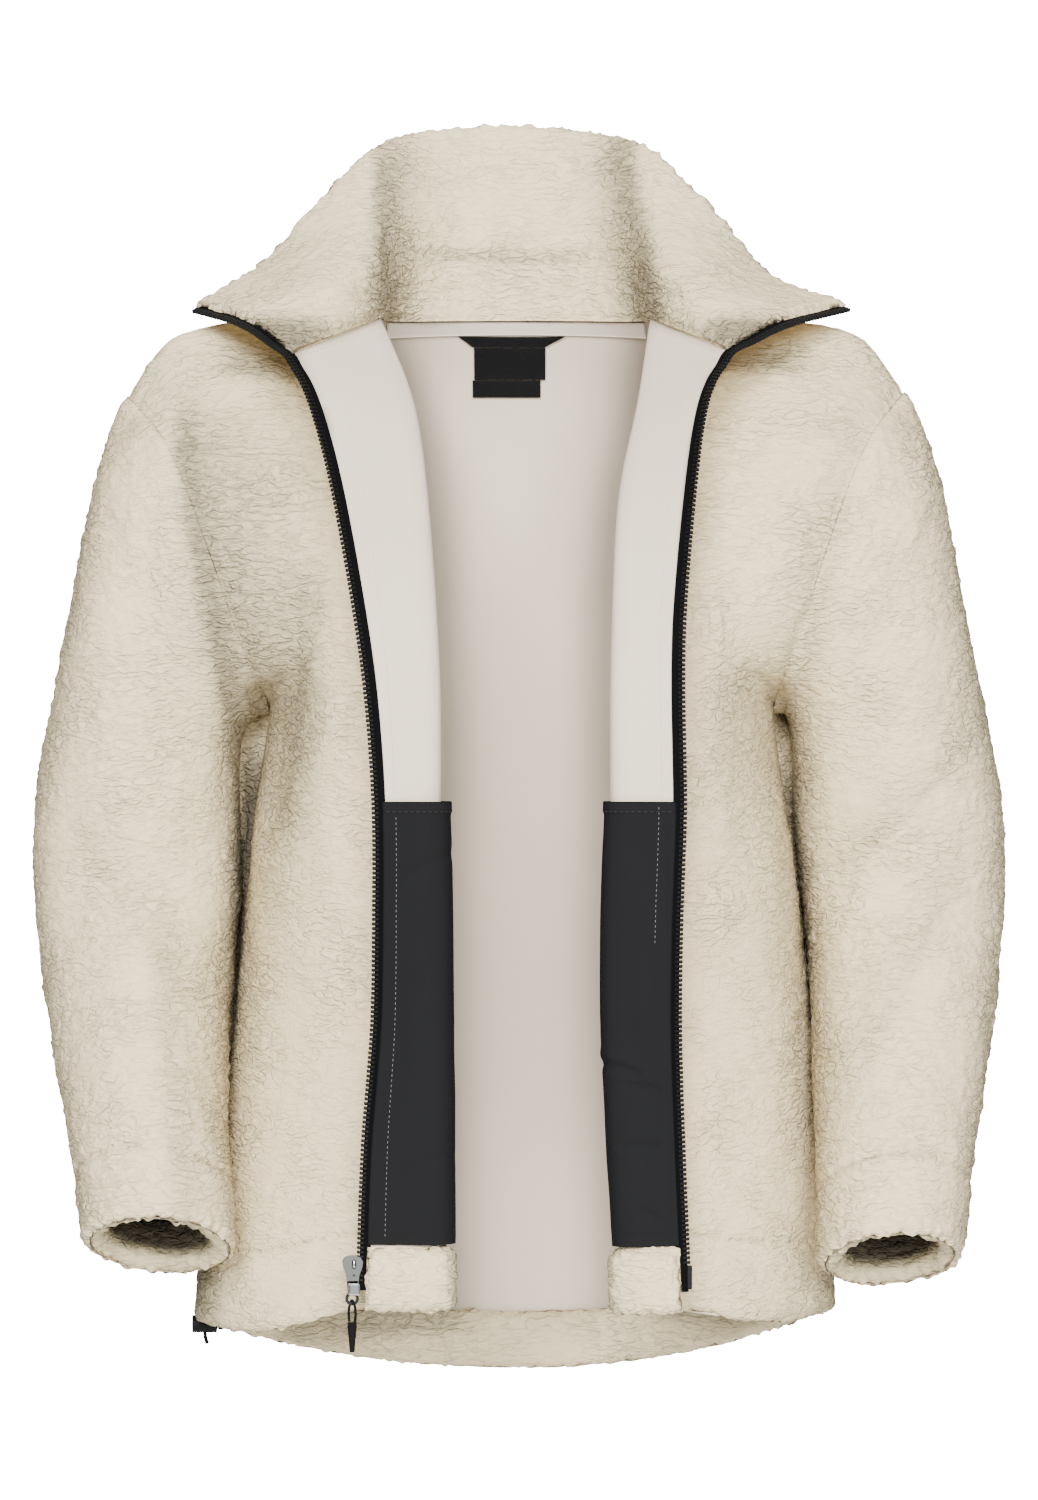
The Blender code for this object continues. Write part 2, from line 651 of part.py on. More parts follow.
def make_panels(finishes):
    """The seven fleece pieces, and the surfaces that the smaller pieces are laid on."""
    fronts = {side: front_surface(side) for side in SIDES}
    halves = {side: back_half(side, fronts[side]) for side in SIDES}
    back = np.concatenate([halves["right"], halves["left"][:, ::-1][:, 1:]], axis=1)
    grids = {
        "front_right": fronts["right"],
        "front_left": fronts["left"],
        "back": back,
        "sleeve_right": sleeve_surface("right", fronts["right"], halves["right"]),
        "sleeve_left": sleeve_surface("left", fronts["left"], halves["left"]),
        "collar_outer": collar_surface(fronts, back),
    }
    # The sign that turns a grid's own normals to the pile side.
    pile_side = {
        "front_right": 1,
        "front_left": -1,
        "back": -1,
        "sleeve_right": 1,
        "sleeve_left": -1,
        "collar_outer": 1,
    }
    panels = {}
    for name, grid in grids.items():
        round_it = name.startswith("sleeve")
        if name in FOLDS:
            grid = crease(grid, normals_of(grid, round_it) * pile_side[name], FOLDS[name])
        panels[name] = (grid, normals_of(grid, round_it) * pile_side[name])
    places = []
    for front in fronts.values():
        places.append((front[ARMHOLE_ROWS, 0], PRESSED["armpit"]))
        places.append((front[0, SHOULDER_STEPS], PRESSED["neck"]))
    directions = press(mitres(panels), panels, places)
    seams = {
        "front_right": ("top", "first"),
        "front_left": ("top", "first"),
        "back": ("top", "first", "last"),
        "sleeve_right": ("top",),
        "sleeve_left": ("top",),
        "collar_outer": ("top",),
    }
    for name, (grid, _) in panels.items():
        base, away = inset(grid, seams[name]), directions[name] * FLEECE
        kind, bottom = name.split("_")[0], len(grid) - 1
        for part, first, last in LENGTHS.get(kind, (("", 0, bottom),)):
            rows = slice(first, last + 1)
            cuts = [edge for edge, inner in (("top", first > 0), ("bottom", last < bottom)) if inner]
            piece = inset(base[rows], cuts, SEAM_INSET / 2)
            wall(name + part, piece, piece + away[rows], finishes["fleece"], kind == "sleeve")
    middle, away = panels["collar_outer"]
    base = inset(middle, ("top",)) - away * LAID_GAP
    wall("collar_inner", base, base - away * FLEECE, finishes["fleece"])
    return {name: grid for name, (grid, _) in panels.items()}, directions


def make_hems(grids, directions, finishes):
    """The cloth turned up inside the hem and the cuffs, pile inwards."""
    for name, first_row in (("front_right", 20.0), ("front_left", 20.0), ("back", 20.35)):
        rows = np.linspace(first_row, HEM_ROW, 3)
        laid(
            "hem_" + name.replace("front_", ""),
            rows,
            grids[name],
            directions[name],
            LAYER_GAP,
            TURN_UP["hem"],
            finishes["fleece"],
        )
    for side in SIDES:
        name = "sleeve_" + side
        last = len(grids[name]) - 1
        laid(
            "cuff_" + side,
            np.linspace(last - 1.1, last, 3),
            grids[name],
            directions[name],
            LAID_GAP,
            TURN_UP["cuff"],
            finishes["fleece"],
            round_it=True,
        )


def make_pockets(grids, directions, finishes):
    """Inner pocket bags, held to the fronts at the zip and the hem, and loose over the turned edge."""
    top, bottom, first_column = 12, 19.95, 2
    loose = {"right": 6.0, "left": 2.4}
    for side in SIDES:
        name = "front_" + side
        rows = np.r_[top, top + 0.3, np.arange(top + 1, 20), bottom]
        columns = slice(first_column, None)
        across = np.arange(first_column, grids[name].shape[1])
        lift = np.exp(-(((across - SHOULDER_STEPS) / 2.2) ** 2))[None, :, None]
        sag = np.sin(np.linspace(0, math.pi, len(rows)) ** 0.8)[:, None, None] * 0.4 + 0.6
        hem = np.where(np.arange(len(rows)) < 2, 0.8, 0.0)[:, None, None]
        laid(
            "pocket_" + side,
            rows,
            grids[name],
            directions[name],
            LAYER_GAP + loose[side] * lift * sag,
            BAG_CLOTH + hem,
            finishes["pocket"],
            columns,
        )


def make_neck_tape(grids, directions, finishes):
    neck = slice(SHOULDER_STEPS + 1, -SHOULDER_STEPS - 1)
    laid(
        "neck_tape",
        (0.07, 0.3, 0.52),
        grids["back"],
        directions["back"],
        LAYER_GAP,
        RIBBON,
        finishes["tape"],
        neck,
    )


def make_label(grids, finishes):
    """The hanger tab and the two bare labels below the neck tape, laid on the back's smooth face."""
    grid = grids["back"]
    rows, columns = grid.shape[:2]
    index = np.arange(rows * columns).reshape(rows, columns)
    corners = (index[:-1, :-1], index[:-1, 1:], index[1:, 1:], index[1:, :-1])
    faces = np.stack([c.ravel() for c in corners], axis=1)
    surface = BVHTree.FromPolygons(grid.reshape(-1, 3).tolist(), faces.tolist())
    # x of the top and bottom corners, and z of the top and bottom
    pieces = {
        "label_base": ((-38, 29), (-29, 16), (-5.2, -11.4)),
        "label_upper": ((-28, 16.5), (-28, 16.5), (-11.8, -30.8)),
        "label_lower": ((-29, 13.5), (-29, 13.5), (-31.2, -41.6)),
    }
    for name, (top, bottom, heights) in pieces.items():
        base = np.empty((4, 7, 3))
        for i, down in enumerate(np.linspace(0, 1, 4)):
            ends = np.array(top) + down * (np.array(bottom) - top)
            z = heights[0] + down * (heights[1] - heights[0])
            for j, x in enumerate(np.linspace(*ends, 7)):
                base[i, j] = surface.ray_cast((x, 0, z), (0, 1, 0))[0]
        away = np.array([0.0, -1.0, 0.0])
        near, far = base + away * LAYER_GAP, base + away * (LAYER_GAP + RIBBON)
        wall(name, near, far, finishes["label"])


def zip_path(side, grids):
    """The zip's line from hem to collar tip, with its outward and pile-side directions."""
    front, collar = grids["front_" + side], grids["collar_outer"]
    if side == "left":
        collar = collar[:, ::-1]
    path = np.r_[front[::-1, -1], collar[1:, 0]]
    inward = np.r_[front[::-1, -2], collar[1:, 1]]
    out = unit(path - inward)
    along = unit(np.gradient(path, axis=0))
    out = unit(out - along * (out * along).sum(1, keepdims=True))
    up = unit(np.cross(along, out))
    return path, out, up


def clip_path(path, out, up, low_z):
    """The part of a path above a height at its lower end, cut exactly there."""
    first = int(np.argmax(path[:, 2] > low_z))
    t = (low_z - path[first - 1, 2]) / (path[first, 2] - path[first - 1, 2])
    start = [a[first - 1] + t * (a[first] - a[first - 1]) for a in (path, out, up)]
    return [np.r_[s[None], a[first:]] for s, a in zip(start, (path, out, up))]


def make_zip(grids, finishes):
    """Tapes and chains on both edges; the slider and its box on the right one, the pin on the left."""
    chain_ends = {
        "right": SLIDER["z"] - SLIDER["height"] / 2 - 1.0,
        "left": grids["front_left"][-1, -1, 2] + 8 + PIN_LENGTH,
    }
    ends = {}
    for side in SIDES:
        path, out, up = zip_path(side, grids)
        tape = clip_path(path, out, up, path[0, 2] + 7)
        ribbon("zip_tape_" + side, *tape, TAPE["out"], TAPE["half"], finishes["zip_tape"])
        chain = clip_path(path, out, up, chain_ends[side])
        ribbon("zip_chain_" + side, *chain, CHAIN["out"], CHAIN["half"], finishes["zip_teeth"])
        ends[side] = [a[0] for a in chain]
    make_slider(ends["right"], finishes)
    frame = zip_frame(ends["left"], sum(CHAIN["out"]) / 2, ends["left"][0][2])
    box(
        "insertion_pin",
        (-0.9, -1.2, -PIN_LENGTH - 0.4),
        (1.9, 1.2, -0.4),
        finishes["zip_teeth"],
        0.6,
        frame,
    )


def zip_frame(end, out_by, z):
    """A place beside the zip edge: x outwards, z up the zip."""
    place, out, _ = end
    x, y = place[:2] + out[:2] * out_by
    return Matrix.Translation((x * MM, y * MM, z * MM)) @ Matrix.Rotation(
        math.atan2(out[1], out[0]), 4, "Z"
    )


def make_slider(end, finishes):
    frame = zip_frame(end, SLIDER["out"], SLIDER["z"])
    half = SLIDER["height"] / 2
    shield = [
        (-5.9, half - 3.4),
        (-4.6, half - 0.9),
        (-2.0, half),
        (2.0, half),
        (4.6, half - 0.9),
        (5.9, half - 3.4),
        (5.4, half - 6.6),
        (3.7, -half + 3.0),
        (3.4, -half),
        (-3.4, -half),
        (-3.7, -half + 3.0),
        (-5.4, half - 6.6),
    ]
    off = SLIDER["gap"] + SLIDER["plate"] / 2
    slider = meshed(plate("slider", [shield], SLIDER["plate"], finishes["slider"], frame, off))
    other = meshed(plate("slider_far", [shield], SLIDER["plate"], finishes["slider"], frame, -off))
    overlap = 0.4
    post = box(
        "slider_post",
        (-0.6, -SLIDER["gap"] - overlap, half - 6.0),
        (0.9, SLIDER["gap"] + overlap, half - 0.6),
        finishes["slider"],
        frame=frame,
    )
    plate_face = -SLIDER["gap"] - SLIDER["plate"]
    bridge_low, bridge_high = PULL_AXIS_OFF + 1.05, PULL_AXIS_OFF + 2.2
    bridge_half = 1.1
    feet = (
        ("slider_foot_top", 2.0, 3.6),
        ("slider_foot_bottom", -3.6, -2.0),
    )
    combine(slider, post, "UNION")
    combine(slider, other, "UNION")
    for name, low, high in feet:
        foot = box(
            name,
            (-bridge_half, -bridge_high, low),
            (bridge_half, plate_face + overlap, high),
            finishes["slider"],
            frame=frame,
        )
        combine(slider, foot, "UNION")
    bar = box(
        "slider_bridge",
        (-bridge_half, -bridge_high, -3.0),
        (bridge_half, -bridge_low, 3.0),
        finishes["slider"],
        frame=frame,
    )
    combine(slider, bar, "UNION")
    box(
        "retainer_box",
        (-4.4, -2.3, -half - 8.8),
        (2.6, 2.3, -half - 1.3),
        finishes["bright"],
        1.2,
        frame,
    )
    make_pull(frame, finishes)


def circle(x, z, radius, steps, clockwise=False):
    turn = -1 if clockwise else 1
    angles = turn * np.arange(steps) * 2 * math.pi / steps
    return [(x + radius * math.cos(a), z + radius * math.sin(a)) for a in angles]


def make_pull(frame, finishes):
    """The tab hinged under the slider's bridge, its short cord loop and the moulded grip."""
    hinge = frame @ Matrix.Translation((0, -PULL_AXIS_OFF * MM, 0))
    pull = bpy.data.objects.new("pull_axis", None)
    pull.matrix_world = hinge
    bpy.data.collections["fleece_jacket"].objects.link(pull)
    thickness, eye_z, eye_radius = 1.2, -18.2, 4.1
    outline = [(-3.0, 0.6), (3.0, 0.6), (3.0, -9.0)]
    angles = np.radians(np.linspace(50, -230, 13))
    outline += [(eye_radius * math.cos(a), eye_z + eye_radius * math.sin(a)) for a in angles]
    outline += [(-3.0, -9.0)]
    slot = [(-1.6, -0.6), (-1.6, -5.6), (1.6, -5.6), (1.6, -0.6)]
    hole = circle(0, eye_z, 2.3, 12)
    tab = meshed(plate("pull_tab", [outline, slot, hole], thickness, finishes["dark_metal"], hinge, 0))
    cord = 0.8
    loop = [
        (-1.6, 1.0, eye_z - 13.5),
        (-1.9, 1.7, eye_z - 9.0),
        (-1.6, 2.1, eye_z - 5.0),
        (-0.8, 2.0, eye_z - 2.6),
        (-0.2, 1.1, eye_z - 1.2),
        (0.2, -1.1, eye_z - 1.2),
        (0.8, -2.0, eye_z - 2.6),
        (1.6, -2.1, eye_z - 5.0),
        (1.9, -1.7, eye_z - 9.0),
        (1.6, -1.0, eye_z - 13.5),
    ]
    steps = np.linspace(0, len(loop) - 1, 28)
    points = smooth(np.arange(len(loop)), loop, steps)
    puller = tube("puller_cord", points, cord, finishes["cord"], hinge)
    # The grip is a flattened rod that narrows downwards.
    rows = table(
        "z half_x half_y",
        (-13.9, 2.6, 2.1),
        (-17, 2.7, 1.7),
        (-24, 2.0, 1.4),
        (-31.2, 1.4, 1.2),
    )
    angle = np.arange(12) * math.pi / 6
    bm = bmesh.new()
    rings = [
        [
            bm.verts.new((hx * math.cos(a) * MM, hy * math.sin(a) * MM, (eye_z + z) * MM))
            for a in angle
        ]
        for z, hx, hy in zip(rows["z"], rows["half_x"], rows["half_y"])
    ]
    bm.faces.new(rings[0])
    bm.faces.new(rings[-1])
    for upper, lower in zip(rings, rings[1:]):
        for j in range(len(upper)):
            k = (j + 1) % len(upper)
            bm.faces.new((upper[j], upper[k], lower[k], lower[j]))
    grip = add_mesh("puller_grip", bm, finishes["cord"], math.radians(40))
    grip.matrix_world = hinge
    bpy.context.view_layer.update()
    for obj in (tab, puller, grip):
        place = obj.matrix_world.copy()
        obj.parent = pull
        obj.matrix_world = place


def make_drawcord(grids, finishes):
    """The hem drawcord's free end below the right side seam, through its spring lock."""
    corner = grids["front_right"][-1, 0]
    x, y, z = corner[0] + 3, corner[1], CORD_LOCK["z"]
    route = [
        (x, y, corner[2] - 0.8),
        (x - 0.6, y, corner[2] - 6.0),
        (x - 0.8, y, z + 9.0),
        (x, y, z + 3.0),
        (x, y, z - 3.0),
        (x + 0.4, y, z - 8.0),
        (x + 1.6, y, z - 12.2),
    ]
    points = smooth(np.arange(len(route)), route, np.linspace(0, len(route) - 1, 13))
    tube("drawcord", points, CORD_DIAMETER / 2, finishes["cord"])
    frame = Matrix.Translation((x * MM, y * MM, z * MM))
    bm = bmesh.new()
    bmesh.ops.create_cone(
        bm,
        cap_ends=True,
        segments=16,
        radius1=CORD_LOCK["radius"] * MM,
        radius2=CORD_LOCK["radius"] * MM,
        depth=CORD_LOCK["length"] * MM,
        matrix=Matrix.Rotation(math.pi / 2, 4, "Y"),
    )
    lock = add_mesh("cord_lock", bm, finishes["plastic"], math.radians(40))
    lock.matrix_world = frame
    hole = bmesh.new()
    bmesh.ops.create_cone(
        hole,
        cap_ends=True,
        segments=12,
        radius1=(CORD_DIAMETER / 2 + 0.5) * MM,
        radius2=(CORD_DIAMETER / 2 + 0.5) * MM,
        depth=4 * CORD_LOCK["radius"] * MM,
    )
    cutter = add_mesh("cord_lock_hole", hole, finishes["plastic"])
    cutter.matrix_world = frame
    combine(lock, cutter, "DIFFERENCE")
    half = CORD_LOCK["length"] / 2
    box(
        "cord_lock_button",
        (half + 0.3, -3.4, -3.4),
        (half + 4.6, 3.4, 3.4),
        finishes["plastic"],
        1.4,
        frame,
    )


def main():
    clear_scene()
    for name in ("fleece_jacket", "cutters"):
        bpy.context.scene.collection.children.link(bpy.data.collections.new(name))
    finishes = {
        "fleece": material("pile fleece", (0.66, 0.61, 0.52), 0.95),
        "pocket": material("pocket mesh", (0.03, 0.03, 0.03), 0.85),
        "tape": material("neck tape", (0.6, 0.54, 0.47), 0.8),
        "label": material("label satin", (0.022, 0.022, 0.024), 0.6),
        "zip_tape": material("zip tape", (0.02, 0.02, 0.022), 0.8),
        "zip_teeth": material("zip plastic", (0.012, 0.012, 0.014), 0.4),
        "slider": material("slider metal", (0.32, 0.32, 0.31), 0.4, 1.0),
        "bright": material("bright metal", (0.72, 0.72, 0.7), 0.25, 1.0),
        "dark_metal": material("blackened metal", (0.03, 0.03, 0.03), 0.4, 0.8),
        "cord": material("cord", (0.014, 0.014, 0.015), 0.7),
        "plastic": material("moulded plastic", (0.012, 0.012, 0.013), 0.45),
    }
    grids, directions = make_panels(finishes)
    make_hems(grids, directions, finishes)
    make_pockets(grids, directions, finishes)
    make_neck_tape(grids, directions, finishes)
    make_label(grids, finishes)
    make_zip(grids, finishes)
    make_drawcord(grids, finishes)


main()
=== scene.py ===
# A pile-fleece jacket, open at its front, hollow and filled out as if worn.
# x is the wearer's left, -y the front and z up. Sizes and tables are in millimetres unless a note says metres.
import json
import math

import bpy
import numpy as np
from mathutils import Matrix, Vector


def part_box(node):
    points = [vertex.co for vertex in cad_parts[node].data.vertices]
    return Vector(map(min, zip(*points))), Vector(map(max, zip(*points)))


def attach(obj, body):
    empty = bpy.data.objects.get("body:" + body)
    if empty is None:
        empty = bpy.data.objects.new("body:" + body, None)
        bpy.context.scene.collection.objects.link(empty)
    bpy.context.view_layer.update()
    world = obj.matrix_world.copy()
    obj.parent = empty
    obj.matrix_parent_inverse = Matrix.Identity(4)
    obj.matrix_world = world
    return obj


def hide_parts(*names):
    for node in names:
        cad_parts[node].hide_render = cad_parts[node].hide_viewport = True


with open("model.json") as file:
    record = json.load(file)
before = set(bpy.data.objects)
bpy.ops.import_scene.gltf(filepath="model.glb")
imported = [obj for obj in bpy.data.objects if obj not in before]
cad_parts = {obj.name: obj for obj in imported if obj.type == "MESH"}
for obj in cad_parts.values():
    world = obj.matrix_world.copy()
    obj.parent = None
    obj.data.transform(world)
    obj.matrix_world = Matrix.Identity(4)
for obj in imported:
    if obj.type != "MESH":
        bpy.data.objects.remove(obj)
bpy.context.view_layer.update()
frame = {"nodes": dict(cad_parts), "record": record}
mm = 0.001
sides = {"right": -1.0, "left": 1.0}
print("frame loaded")

# the cut of the panels, shared with the solid part
cut = {
    "chestSteps": 6,
    "rollSteps": 4,
    "flapSteps": 4,
    "backNeckSteps": 6,
    "armholeRows": 10,
    "hemRow": 21,
    "ringsPerRow": 2,
    "collarRows": 5,
    "rollRadius": 11.0,
    "nearArmhole": {"share": 0.3, "out": (1.5, 0.0, 0.5)},
    "armpit": (0.1, 110.0),
    "neck": (0.45, 26.0),
    "mostMitre": 1.35,
    "hemSag": {"right": 15.0, "left": 8.0, "from": 106.0, "over": 34.0, "firstRow": 15},
    "underarm": {"right": 1.0, "left": 0.55},  # how much of the back's underarm fullness each side has
    "fullTo": {"wide": 0.76, "underarm": 0.34},  # how far towards the middle each fullness goes
}
shoulderSteps = cut["chestSteps"] + cut["rollSteps"] // 2
neckSteps = cut["rollSteps"] // 2 + cut["flapSteps"]


def table(columns, *rows):
    # one array for each named column
    values = np.array(rows, float)
    return {name: values[:, i] for i, name in enumerate(columns.split())}


frontColumns = "row sideX sideY sideZ lead full foldX foldY foldZ zipX zipY zipZ"
fronts = {
    "right": table(
        frontColumns,
        (0, 236, 0, -48, 0, 0.35, 84, 0, 0, 135, -90, -28),
        (3, 207, -60, -86, 12, 0.35, 63, -62, -54, 119.5, -112, -57),
        (6, 178, -80, -160, 28, 0.42, 53, -100, -120, 103, -135, -118),
        (8, 159, -60, -216, 55, 0.50, 48, -121, -184, 91, -145, -184),
        (10, 152, 0, -240, 88, 0.56, 45.6, -130, -236, 84, -149, -236),
        (12, 159, 2, -300, 90, 0.55, 45.6, -130, -296, 80, -148, -296),
        (14, 162.5, 4, -362, 90, 0.54, 46, -127, -358, 79.8, -146, -358),
        (16, 170, 6, -428, 90, 0.54, 46, -125, -424, 81, -144, -424),
        (18, 181, 6, -496, 90, 0.54, 45, -127, -488, 86, -143, -488),
        (21, 195, 5, -590, 90, 0.54, 43.5, -131, -585, 89.5, -145, -584),
    ),
    "left": table(
        frontColumns,
        (0, 232, 0, -46, 0, 0.35, 80, 0, 0, 124, -90, -26),
        (3, 205, -60, -84, 12, 0.35, 71, -62, -54, 108, -112, -56),
        (6, 177, -80, -158, 28, 0.42, 58, -100, -120, 98, -135, -118),
        (8, 160, -60, -214, 55, 0.50, 54.5, -121, -184, 92, -145, -184),
        (10, 155, 0, -240, 88, 0.56, 53.2, -130, -236, 91, -149, -236),
        (12, 161, 2, -300, 90, 0.55, 53.2, -130, -296, 92, -148, -296),
        (14, 167.5, 4, -362, 90, 0.54, 52, -127, -358, 90, -146, -358),
        (16, 174, 6, -428, 90, 0.54, 52, -125, -424, 89.2, -144, -424),
        (18, 181, 6, -496, 90, 0.54, 55, -127, -488, 91, -143, -488),
        (21, 189, 5, -590, 90, 0.54, 60, -131, -587, 95, -145, -585),
    ),
}
shoulder = table("way drop", (0, 1), (0.06, 0.66), (0.15, 0.4), (0.3, 0.2), (0.6, 0.07), (1, 0))
backArmhole = table("row x y z", (3, 213, 56, -86), (6, 190, 80, -160), (8, 167, 60, -216))
# wide is how far the cloth spreads behind the arms, and underarm how far it does right beside its edge
backMiddle = table(
    "row lead full wide underarm y z",
    (0, 0, 0.5, 0, 0, 62, 5),
    (3, 30, 0.5, 0, 0, 88, -46),
    (6, 48, 0.5, 0, 0, 106, -112),
    (8, 66, 0.52, 0, 5, 112, -172),
    (10, 86, 0.54, 14, 19, 112, -234),
    (12, 90, 0.54, 27, 14, 108, -298),
    (14, 90, 0.54, 26, 8, 105, -366),
    (16, 90, 0.54, 24, 3, 107, -436),
    (18, 90, 0.54, 10, 0, 110, -520),
    (21, 90, 0.54, 0, 0, 113, -646),
)
sleeveColumns = "ring outerX outerZ innerX innerZ middleY halfDepth"
sleeves = {
    "right": table(
        sleeveColumns,
        (1, 251, -92, 161, -242, 0, 78),
        (2, 262, -140, 169.5, -252, 0, 73),
        (3, 273, -198, 173.5, -277, 3, 70),
        (4, 286, -262, 173.5, -316, 7, 67),
        (5, 292, -320, 175, -352, 6, 65),
        (6, 287, -378, 179, -398, -8, 61),
        (7, 277, -436, 180, -450, -38, 56),
        (8, 264, -494, 177, -503, -74, 50),
        (9, 254, -549, 171, -554, -100, 45),
    ),
    "left": table(
        sleeveColumns,
        (1, 249, -90, 162.5, -240, 0, 78),
        (2, 260, -140, 167, -252, 0, 73),
        (3, 271, -198, 169.5, -278, 3, 70),
        (4, 285, -262, 172, -316, 7, 67),
        (5, 292, -320, 177, -352, 6, 65),
        (6, 289, -378, 181.5, -398, -8, 61),
        (7, 280, -436, 181.5, -450, -38, 56),
        (8, 268, -496, 181.5, -505, -74, 50),
        (9, 258, -556, 181, -562, -101, 45),
    ),
}
collarColumns = "step halfX halfY halfZ topX topY topZ"
collars = {
    "right": table(
        collarColumns,
        (0, 0, 73, 66, 0, 93, 126),
        (3, 44, 65, 65, 48, 86, 123),
        (6, 83, 22, 54, 88, 60, 109),
        (8, 93, -2, 40, 119, 43, 78),
        (10, 120, -36, 15, 158, 14, 31),
        (12, 162, -52, -6, 195, -8, 7),
    ),
    "left": table(
        collarColumns,
        (0, 0, 73, 66, 0, 93, 126),
        (3, 44, 65, 64, 49, 86, 121),
        (6, 80, 22, 52, 86, 60, 104),
        (8, 90, -2, 37, 116, 43, 71),
        (10, 114, -36, 14, 153, 14, 26),
        (12, 157, -52, -6, 197, -8, 7),
    ),
}
# the large folds, each a line in x and z, its rise, half its width, and the face it is seen on
foldColumns = "x0 z0 x1 z1 rise width face"
folds = {
    "front_right": table(
        foldColumns,
        (-126, -170, -144, -300, -6, 20, -1),
        (-108, -190, -112, -320, 4, 22, -1),
        (-128, -430, -118, -560, -4, 24, -1),
    ),
    "front_left": table(
        foldColumns,
        (150, -215, 128, -330, -4, 20, -1),
        (120, -400, 132, -560, -4, 26, -1),
    ),
    "back": table(
        foldColumns,
        (-120, -180, -70, -330, -5, 22, 1),
        (118, -190, 80, -360, -5, 24, 1),
        (-60, -430, -84, -600, -5, 26, 1),
        (48, -440, 66, -610, -4, 24, 1),
    ),
    "sleeve_right": table(
        foldColumns,
        (-226, -150, -206, -262, -7, 20, -1),
        (-200, -320, -262, -352, -5, 20, -1),
        (-230, -380, -214, -480, 4, 22, -1),
        (-206, -290, -270, -330, -6, 20, 1),
        (-210, -360, -276, -372, -5, 18, 1),
    ),
    "sleeve_left": table(
        foldColumns,
        (224, -150, 208, -260, -5, 20, -1),
        (204, -330, 264, -366, -4, 20, -1),
        (208, -300, 272, -334, -6, 20, 1),
        (212, -362, 278, -380, -5, 18, 1),
    ),
}


def smoothCurve(knots, values, at):
    # a Hermite cubic through the values, with each knot's slope the mean of its neighbours', weighted by spacing
    knots, values, at = np.asarray(knots, float), np.asarray(values, float), np.asarray(at, float)
    shape = (-1,) + (1,) * (values.ndim - 1)
    spacing = np.diff(knots).reshape(shape)
    slopes = np.diff(values, axis=0) / spacing
    tangents = np.empty_like(values)
    tangents[0], tangents[-1] = slopes[0], slopes[-1]
    tangents[1:-1] = (slopes[:-1] * spacing[1:] + slopes[1:] * spacing[:-1]) / (spacing[:-1] + spacing[1:])
    i = np.clip(np.searchsorted(knots, at, side="right") - 1, 0, len(knots) - 2)
    step = spacing[i]
    t = ((at - knots[i]) / np.diff(knots)[i]).reshape(shape)
    return (
        (2 * t**3 - 3 * t**2 + 1) * values[i]
        + (t**3 - 2 * t**2 + t) * step * tangents[i]
        + (3 * t**2 - 2 * t**3) * values[i + 1]
        + (t**3 - t**2) * step * tangents[i + 1]
    )


def bezier(p0, p1, p2, p3, t):
    t = np.asarray(t)[:, None]
    return (1 - t) ** 3 * p0 + 3 * (1 - t) ** 2 * t * p1 + 3 * (1 - t) * t**2 * p2 + t**3 * p3


def unit(vectors):
    return vectors / np.maximum(np.linalg.norm(vectors, axis=-1, keepdims=True), 1e-9)


def bell(ratio):
    return np.exp(-(ratio**2))


def rowsOf(columns):
    return [dict(zip(columns, values)) for values in zip(*columns.values())]


def gridNormals(grid, joined=False):
    # the cross product of the way down and the way across
    down = np.gradient(grid, axis=0)
    across = np.roll(grid, -1, axis=1) - np.roll(grid, 1, axis=1) if joined else np.gradient(grid, axis=1)
    return unit(np.cross(down, across))


def frontRow(r):
    # across a front: a cubic round the chest, an arc where it turns back, and the straight flap, its tangent
    radius = cut["rollRadius"]
    middle = np.array([r["foldX"] + radius, r["foldY"]])
    side, turn = np.array([r["sideX"], r["sideY"]]), middle + (0, radius)
    zipEdge = np.array([r["zipX"], r["zipY"]])
    lead = math.radians(r["lead"])
    reach = np.abs(side - turn)
    handle = r["full"] * (reach[0] * math.cos(lead) + reach[1] * math.sin(lead))
    leaving, t = np.array([math.cos(lead), math.sin(lead)]), np.linspace(0, 1, cut["chestSteps"] + 1)
    chest = bezier(side, side - handle * leaving, turn + (r["full"] * reach[0], 0), turn, t)
    toZip = zipEdge - middle
    last = math.atan2(toZip[1], toZip[0]) - math.acos(radius / np.linalg.norm(toZip)) + 2 * math.pi
    half = cut["rollSteps"] // 2
    angles = np.r_[np.linspace(math.pi / 2, math.pi, half + 1)[1:], np.linspace(math.pi, last, half + 1)[1:]]
    roll = middle + radius * np.stack([np.cos(angles), np.sin(angles)], axis=1)
    along = np.linspace(0, 1, cut["flapSteps"] + 1)[1:, None]
    flap = roll[-1] + along * (zipEdge - roll[-1])
    if r["row"]:
        chestZ = np.linspace(r["sideZ"], r["foldZ"], cut["chestSteps"] + 1)
    else:
        way = (side[0] - chest[:, 0]) / (side[0] - turn[0])
        chestZ = r["sideZ"] * smoothCurve(shoulder["way"], shoulder["drop"], way)
    height = np.r_[chestZ, np.full(cut["rollSteps"], r["foldZ"]), r["foldZ"] + along[:, 0] * (r["zipZ"] - r["foldZ"])]
    return np.column_stack([np.r_[chest, roll, flap], height])


def frontSurface(side):
    rows = [frontRow(r) for r in rowsOf(fronts[side])]
    grid = smoothCurve(fronts[side]["row"], rows, np.arange(cut["hemRow"] + 1))
    # the hem drops towards the side seam, by a smooth step in x, over the last rows
    sag = cut["hemSag"]
    step = np.clip((grid[..., 0] - sag["from"]) / sag["over"], 0, 1)
    late = np.clip((np.arange(cut["hemRow"] + 1) - sag["firstRow"]) / (cut["hemRow"] - sag["firstRow"]), 0, 1)
    grid[..., 2] -= sag[side] * step**2 * (3 - 2 * step) * late[:, None]
    return grid * (sides[side], 1, 1)


